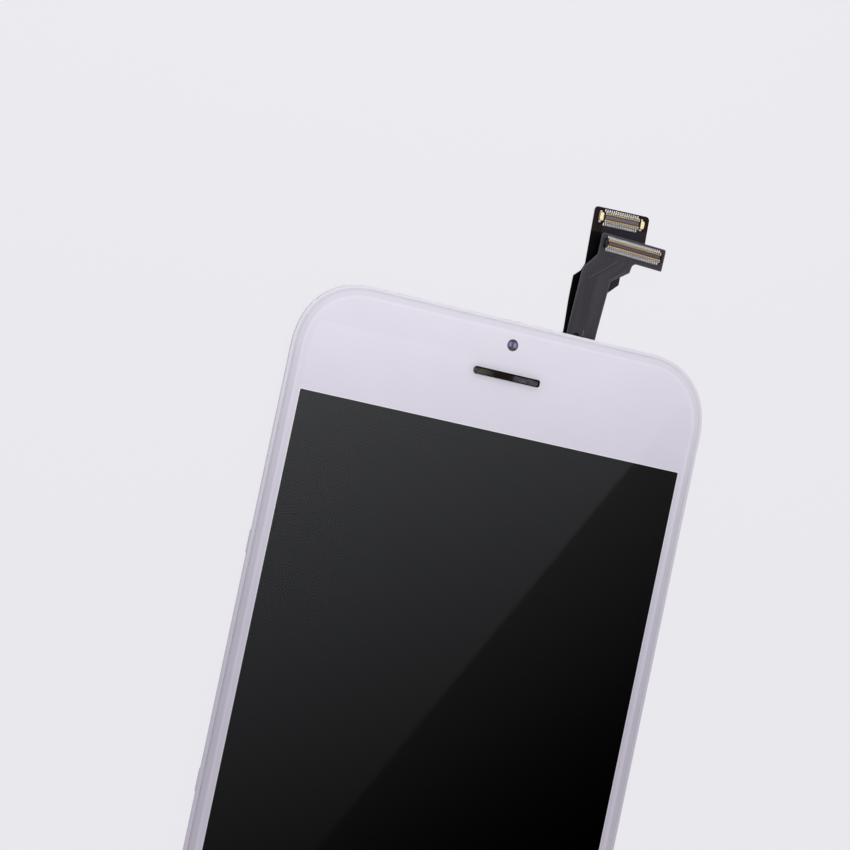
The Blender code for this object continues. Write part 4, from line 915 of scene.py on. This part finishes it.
# A pale and a dark line side by side up the neck, a fold in relief whose lit and shaded
# sides are painted light and shade, a line right of them, and a pale mark beside the hole.
TOUCH_REGIONS = (
    ("3E3C40", 4.0, stripe((9.7, 77.0), (13.7, 80.3), 0.13)),
    ("232126", -2.0, stripe((9.85, 76.86), (13.85, 80.16), 0.13)),
    ("434241", 3.0, stripe((12.85, 77.35), (15.5, 79.3), 0.12)),
    ("605E68", 0.0, stripe((10.93, 68.84), (10.93, 69.72), 0.12)),
)
grey_coverlay = circuit_film("grey_coverlay", "312E36", "2D2B2F", TOUCH_REGIONS,
                             lean=2.07 * MM, gloss=(0.4, 0.6), track=0.0022, specular=0.3)
coverlay = add_piece("touch_circuit_coverlay", make_coverlay(), grey_coverlay)
soften(coverlay, angle=30)


# Board connectors. Black moulded housings with a grey tongue in a moat, one on each head.
# Each contact is gold where it mates, on the inner wall, and tinned with solder where its
# foot stands on the circuit.

CONTACT_PITCH = 0.35 * MM
CONTACT_WIDTH = 0.17 * MM
FOOT_WIDTH = 0.115 * MM
SOCKET_HEIGHT = 0.6 * MM
HOUSING_TOP = 0.575 * MM
HOUSING_FLOOR = 0.2 * MM
HOUSING_WALL = 0.37 * MM
END_WALL = 0.15 * MM
MOAT_WIDTH = 0.12 * MM
TONGUE_FOOT = 0.1 * MM
END_PAD = 0.16 * MM
CONNECTOR_ROUNDING = 0.02 * MM

housing_black = grained("black_moulded_polymer", "1C1B1E", "141316", patch=0.4, grain=0.06,
                        gloss=(0.4, 0.55), relief=0.0008)
tongue_slate = grained("slate_moulded_polymer", "56565E", "4A4A52", patch=0.4, grain=0.06,
                       gloss=(0.4, 0.55), relief=0.0008)
tongue_violet = grained("violet_grey_polymer", "45424C", "3D3A44", patch=0.4, grain=0.06,
                        gloss=(0.4, 0.55), relief=0.0008)
contact_gold = grained("gold_plate", "FFDDA0", "FFCC88", patch=0.35, grain=0.05,
                       gloss=(0.22, 0.34), relief=0.0006, Metallic=0.6)
tab_gold = grained("polished_gold_plate", "FFEDC6", "FEE5B0", patch=0.5, grain=0.05,
                   gloss=(0.18, 0.28), relief=0.0005, Metallic=0.6)
solder_tin = grained("bright_solder", "FFFEFC", "F6F5F3", patch=0.25, grain=0.06,
                     gloss=(0.25, 0.42), relief=0.0015, Metallic=0.3)
tab_solder = grained("dull_solder", "C9C0C2", "B4ABAE", patch=0.25, grain=0.06,
                     gloss=(0.3, 0.5), relief=0.0015, Metallic=0.3)


def block(bm, low, high, rounding):
    """A box with its edges rounded, added to a bmesh."""
    size = Vector(high) - Vector(low)
    middle = (Vector(high) + Vector(low)) / 2
    place = Matrix.Translation(middle) @ Matrix.Diagonal((*size, 1.0))
    made = bmesh.ops.create_cube(bm, size=1.0, matrix=place)
    corners = set(made["verts"])
    edges = [e for e in bm.edges if e.verts[0] in corners]
    bmesh.ops.bevel(bm, geom=edges, offset=rounding, segments=2, profile=0.5, material=-1,
                    affect="EDGES")


def strip_row(bm, profile, contacts, width):
    """A row of contacts on each side, each a section in mm drawn out to its width."""
    for side in (1, -1):
        for i in range(contacts):
            middle = (i - (contacts - 1) / 2) * CONTACT_PITCH
            start = middle - width / 2
            corners = [bm.verts.new((start, side * y * MM, z * MM)) for y, z in profile]
            grown = bmesh.ops.extrude_face_region(bm, geom=[bm.faces.new(corners)])
            moved = [v for v in grown["geom"] if isinstance(v, bmesh.types.BMVert)]
            bmesh.ops.translate(bm, vec=(width, 0, 0), verts=moved)


def make_connector(name, node_name, contacts, inner, foot, end, reach, grey, place, turn):
    """One connector in four pieces: housing, tongue, gold contacts and soldered feet.

    inner is the wall's distance from the middle line and foot how far a foot stands out,
    both in mm. end is how far the housing goes past the contacts, and reach half the
    length of the tongue.
    """
    outer = inner + HOUSING_WALL / MM
    side = outer * MM
    moat = inner * MM
    soft = CONNECTOR_ROUNDING
    half = ((contacts - 1) * CONTACT_PITCH + END_PAD) / 2 + end
    housing = bmesh.new()
    block(housing, (-half, -side, 0), (half, side, HOUSING_FLOOR), soft)
    for way in (1, -1):
        low, high = sorted((way * moat, way * side))
        block(housing, (-half, low, 0), (half, high, HOUSING_TOP), soft)
        low, high = sorted((way * (half - END_WALL), way * half))
        block(housing, (low, -side, 0), (high, side, HOUSING_TOP), soft)
    tongue = bmesh.new()
    ridge = moat - MOAT_WIDTH
    block(tongue, (-reach, -ridge, TONGUE_FOOT), (reach, ridge, HOUSING_TOP), soft)
    gold = bmesh.new()
    over_wall_and_down_inside = [
        (inner + 0.185, 0.57), (inner + 0.185, 0.6), (inner + 0.04, 0.615),
        (inner - 0.01, 0.59), (inner - 0.035, 0.54), (inner - 0.035, 0.22), (inner, 0.22),
        (inner, 0.57),
    ]
    strip_row(gold, over_wall_and_down_inside, contacts, CONTACT_WIDTH)
    tin = bmesh.new()
    down_outside_and_out = [
        (outer - 0.125, 0.57), (outer - 0.125, 0.6), (outer - 0.03, 0.6),
        (outer + 0.025, 0.565), (outer + 0.045, 0.5), (outer + 0.05, 0.18),
        (outer + 0.09, 0.09), (outer + foot * 0.7, 0.06), (outer + foot - 0.03, 0.045),
        (outer + foot, 0.02), (outer + foot, 0.0), (outer, 0.0), (outer, 0.57),
    ]
    strip_row(tin, down_outside_and_out, contacts, FOOT_WIDTH)
    made = (
        (housing, "housing", housing_black, "connector", (node_name,)),
        (tongue, "tongue", grey, "connector", ()),
        (gold, "contacts", contact_gold, "gold", ()),
        (tin, "solder_feet", solder_tin, "stainless_steel", ()),
    )
    standing = Matrix.Translation(place) @ Matrix.Rotation(math.radians(turn), 4, "Z")
    for bm, word, material, slot, stands_for in made:
        bmesh.ops.transform(bm, matrix=standing, verts=bm.verts)
        bmesh.ops.recalc_face_normals(bm, faces=bm.faces)
        piece = add_piece(f"{name}_{word}", bm, material, stands_for)
        soften(piece, angle=40)


def socket_foot(mount_name):
    """Where a connector stands on its circuit: its mount in the record, less its height."""
    mounts = frame["record"]["mounts"]
    x, y, top = next(m["pos_m"] for m in mounts if m["name"] == mount_name)
    return (x, y, top - SOCKET_HEIGHT)


TOUCH_SOCKET = socket_foot("touch_socket")
DISPLAY_SOCKET = socket_foot("display_socket")
DISPLAY_HEAD_TURN = 1.9
make_connector("touch_socket", "touch_connector", contacts=25, inner=0.315, foot=0.38,
               end=0.42 * MM, reach=4.2 * MM, grey=tongue_violet, place=TOUCH_SOCKET,
               turn=TOUCH_HEAD_TURN)
make_connector("display_socket", "display_connector", contacts=16, inner=0.365, foot=0.45,
               end=0.265 * MM, reach=2.68 * MM, grey=tongue_slate, place=DISPLAY_SOCKET,
               turn=DISPLAY_HEAD_TURN)

# End tabs of the display connector: gold on top, with solder down their two ends
TAB_HALF_LENGTH = 0.575 * MM
TAB_END_SLACK = 0.01 * MM
for side in ("left", "right"):
    tab = refined(f"display_tab_{side}", f"plated_end_tab_{side}", tab_gold,
                  rounding=0.05)
    tab.data.materials.append(tab_solder)
    back = Matrix.Rotation(math.radians(-DISPLAY_HEAD_TURN), 3, "Z")
    for face in tab.data.polygons:
        from_middle = abs((back @ (face.center - Vector(DISPLAY_SOCKET))).y)
        if from_middle > TAB_HALF_LENGTH + TAB_END_SLACK:
            face.material_index = 1


# Studio. A pale floor under the assembly, a bright even surround and one soft lamp high over
# its top end. A graded card hangs high on the right, where only mirrors see it: it gives the
# dark window its long highlight with the slanting edge.

BACKGROUND = "EAE9EE"
FLOOR_REACH = 2.0
FLOOR_DROP = 0.05 * MM
FLOOR_SHINE = 0.967
ROOM_LIGHT = 0.8
ROOM_MIRRORED = 0.95
CAMERA_PLACE = (-175.292 * MM, 41.614 * MM, 382.923 * MM)
CARD_HEIGHT = 200 * MM
CARD_LOW = (35 * MM, -160 * MM)
CARD_HIGH = (150 * MM, 73.5 * MM)
FACE_MIRROR = 0.041
# Square root of the brightness over the middle of the glass, and its rise in each mm of x
# and of y, left of the slanting edge and right of it
LEFT_OF_EDGE = (0.0823, -0.001082, 0.002044)
RIGHT_OF_EDGE = (0.0586, -0.001398, 0.001668)
EDGE_FOOT = (70.16 * MM, -35.5 * MM)
EDGE_TOP = (124.485 * MM, 57.948 * MM)
EDGE_BLUR = 0.4 * MM
LEFT_TINT = (0.96, 0.98, 1.04, 1.0)
LAMP_PLACE = (-0.034, 0.121, 0.25)
LAMP_AIM = (-0.035, 0.135, 0.0)
LAMP_SIZE = (0.2, 0.12)
LAMP_SPREAD = 40
LAMP_POWER = 0.09


def add_stage(name, low, high, height, material):
    """A flat rectangle of the studio between two corners, which is no part of the object."""
    bm = bmesh.new()
    size = (high[0] - low[0], high[1] - low[1], 1.0)
    middle = ((high[0] + low[0]) / 2, (high[1] + low[1]) / 2, height)
    place = Matrix.Translation(middle) @ Matrix.Diagonal((*size, 1.0))
    bmesh.ops.create_grid(bm, x_segments=1, y_segments=1, size=0.5, matrix=place)
    made = placed(name, bm, material)
    return made


def pale_floor(name):
    """Shows the background colour and a soft shadow, and lights the object as a pale desk."""
    made, tree = blank(name)
    path = node(tree, "LightPath").outputs
    seen = (path["Is Camera Ray"], path["Is Glossy Ray"])
    seen = node(tree, "Math", seen, operation="MAXIMUM")
    seen = node(tree, "Math", (seen, path["Is Transmission Ray"]), operation="MAXIMUM")
    desk = node(tree, "BsdfDiffuse", {"Color": linear("D8D8DC")})
    soft = node(tree, "BsdfDiffuse", {"Color": linear("2E2E30")})
    shine = node(tree, "Emission", {"Color": linear(BACKGROUND), "Strength": FLOOR_SHINE})
    shown = node(tree, "AddShader", (soft, shine))
    both = node(tree, "MixShader", (seen, desk, shown))
    node(tree, "OutputMaterial", {"Surface": both})
    return made


def graded_card(name):
    """Brightness as the window mirrors it: the square of a plane on each side of an edge."""
    made, tree = blank(name)
    place = node(tree, "TexCoord").outputs["Object"]
    split = node(tree, "SeparateXYZ", {"Vector": place}).outputs

    def plane(base, across, up):
        """base + across * x + up * y, with x and y in metres."""
        first = node(tree, "Math", (split["X"], across, base), operation="MULTIPLY_ADD")
        return node(tree, "Math", (split["Y"], up, first), operation="MULTIPLY_ADD")

    def squared(value):
        """The square of a value that is above 0, else 0."""
        value = node(tree, "Math", (value, 0.0), operation="MAXIMUM")
        return node(tree, "Math", (value, value), operation="MULTIPLY")

    def on_card(base, across, up):
        """A plane over the glass, carried to where the camera sees it mirrored."""
        onward = (CARD_HEIGHT - GLASS_FACE) / (CAMERA_PLACE[2] - GLASS_FACE)
        across = across / (1 + onward) / MM
        up = up / (1 + onward) / MM
        base = base + (across * CAMERA_PLACE[0] + up * CAMERA_PLACE[1]) * onward
        return plane(base, across, up)

    bright = squared(on_card(*LEFT_OF_EDGE))
    dim = squared(on_card(*RIGHT_OF_EDGE))
    run = EDGE_TOP[0] - EDGE_FOOT[0]
    rise = EDGE_TOP[1] - EDGE_FOOT[1]
    across = rise / math.hypot(run, rise)
    up = -run / math.hypot(run, rise)
    side = plane(-(EDGE_TOP[0] * across + EDGE_TOP[1] * up), across, up)
    right = node(tree, "MapRange", (side, -EDGE_BLUR, EDGE_BLUR))
    value = node(tree, "MixRGB", (right, bright, dim))
    tint = node(tree, "MixRGB", (right, LEFT_TINT, linear("FFFFFF")))
    scaled = node(tree, "Math", (value, 1 / FACE_MIRROR), operation="MULTIPLY")
    shine = node(tree, "Emission", {"Color": tint, "Strength": scaled})
    node(tree, "OutputMaterial", {"Surface": shine})
    return made


add_stage("pale_floor", (-FLOOR_REACH, -FLOOR_REACH), (FLOOR_REACH, FLOOR_REACH), -FLOOR_DROP,
          pale_floor("pale_desk_paint"))
card = add_stage("mirror_card", CARD_LOW, CARD_HIGH, CARD_HEIGHT, graded_card("graded_card"))
for sight in ("camera", "diffuse", "shadow", "volume_scatter"):
    setattr(card, "visible_" + sight, False)

world = bpy.data.worlds.new("studio")
bpy.context.scene.world = world
world.use_nodes = True
sky = world.node_tree
sky.nodes.clear()
path = node(sky, "LightPath").outputs
seen = (path["Is Camera Ray"], path["Is Transmission Ray"])
seen = node(sky, "Math", seen, operation="MAXIMUM")
room = node(sky, "Background", {"Color": linear("EDE8EE"), "Strength": ROOM_LIGHT})
mirrored = node(sky, "Background", {"Color": linear(BACKGROUND), "Strength": ROOM_MIRRORED})
shown = node(sky, "Background", {"Color": linear(BACKGROUND), "Strength": 1.0})
inner = node(sky, "MixShader", (path["Is Glossy Ray"], room, mirrored))
outer = node(sky, "MixShader", (seen, inner, shown))
node(sky, "OutputWorld", {"Surface": outer})

lamp = bpy.data.lights.new("soft_lamp", "AREA")
lamp.shape = "RECTANGLE"
lamp.size, lamp.size_y = LAMP_SIZE
lamp.spread = math.radians(LAMP_SPREAD)
lamp.energy = LAMP_POWER
lamp.color = linear("FBFFF6")[:3]
shade = bpy.data.objects.new("soft_lamp", lamp)
shade.location = LAMP_PLACE
aim = Vector(LAMP_AIM) - Vector(LAMP_PLACE)
shade.rotation_euler = aim.to_track_quat("-Z", "Y").to_euler()
for sight in ("camera", "glossy", "transmission"):
    setattr(shade, "visible_" + sight, False)
bpy.context.scene.collection.objects.link(shade)


# Camera. Fitted to the edges of the window and the glass in the photograph, from above
# and to the left, with a long lens.

CAMERA_TURN = (23.4036, -1.37, -11.9649)
SENSOR_WIDTH = 36.0
FOCAL_LENGTH = 126.0
NEAREST = 0.01

lens = bpy.data.cameras.new("photo_camera")
lens.sensor_width = SENSOR_WIDTH
lens.lens = FOCAL_LENGTH
lens.clip_start = NEAREST
camera = bpy.data.objects.new("photo_camera", lens)
yaw, pitch, roll = (math.radians(angle) for angle in CAMERA_TURN)
view = Matrix.Rotation(roll, 3, "Z") @ Matrix.Rotation(pitch, 3, "X")
view = view @ Matrix.Rotation(yaw, 3, "Y")
camera.matrix_world = Matrix.Translation(CAMERA_PLACE) @ view.transposed().to_4x4()
bpy.context.scene.collection.objects.link(camera)
bpy.context.scene.camera = camera
bpy.context.scene.view_settings.view_transform = "Standard"
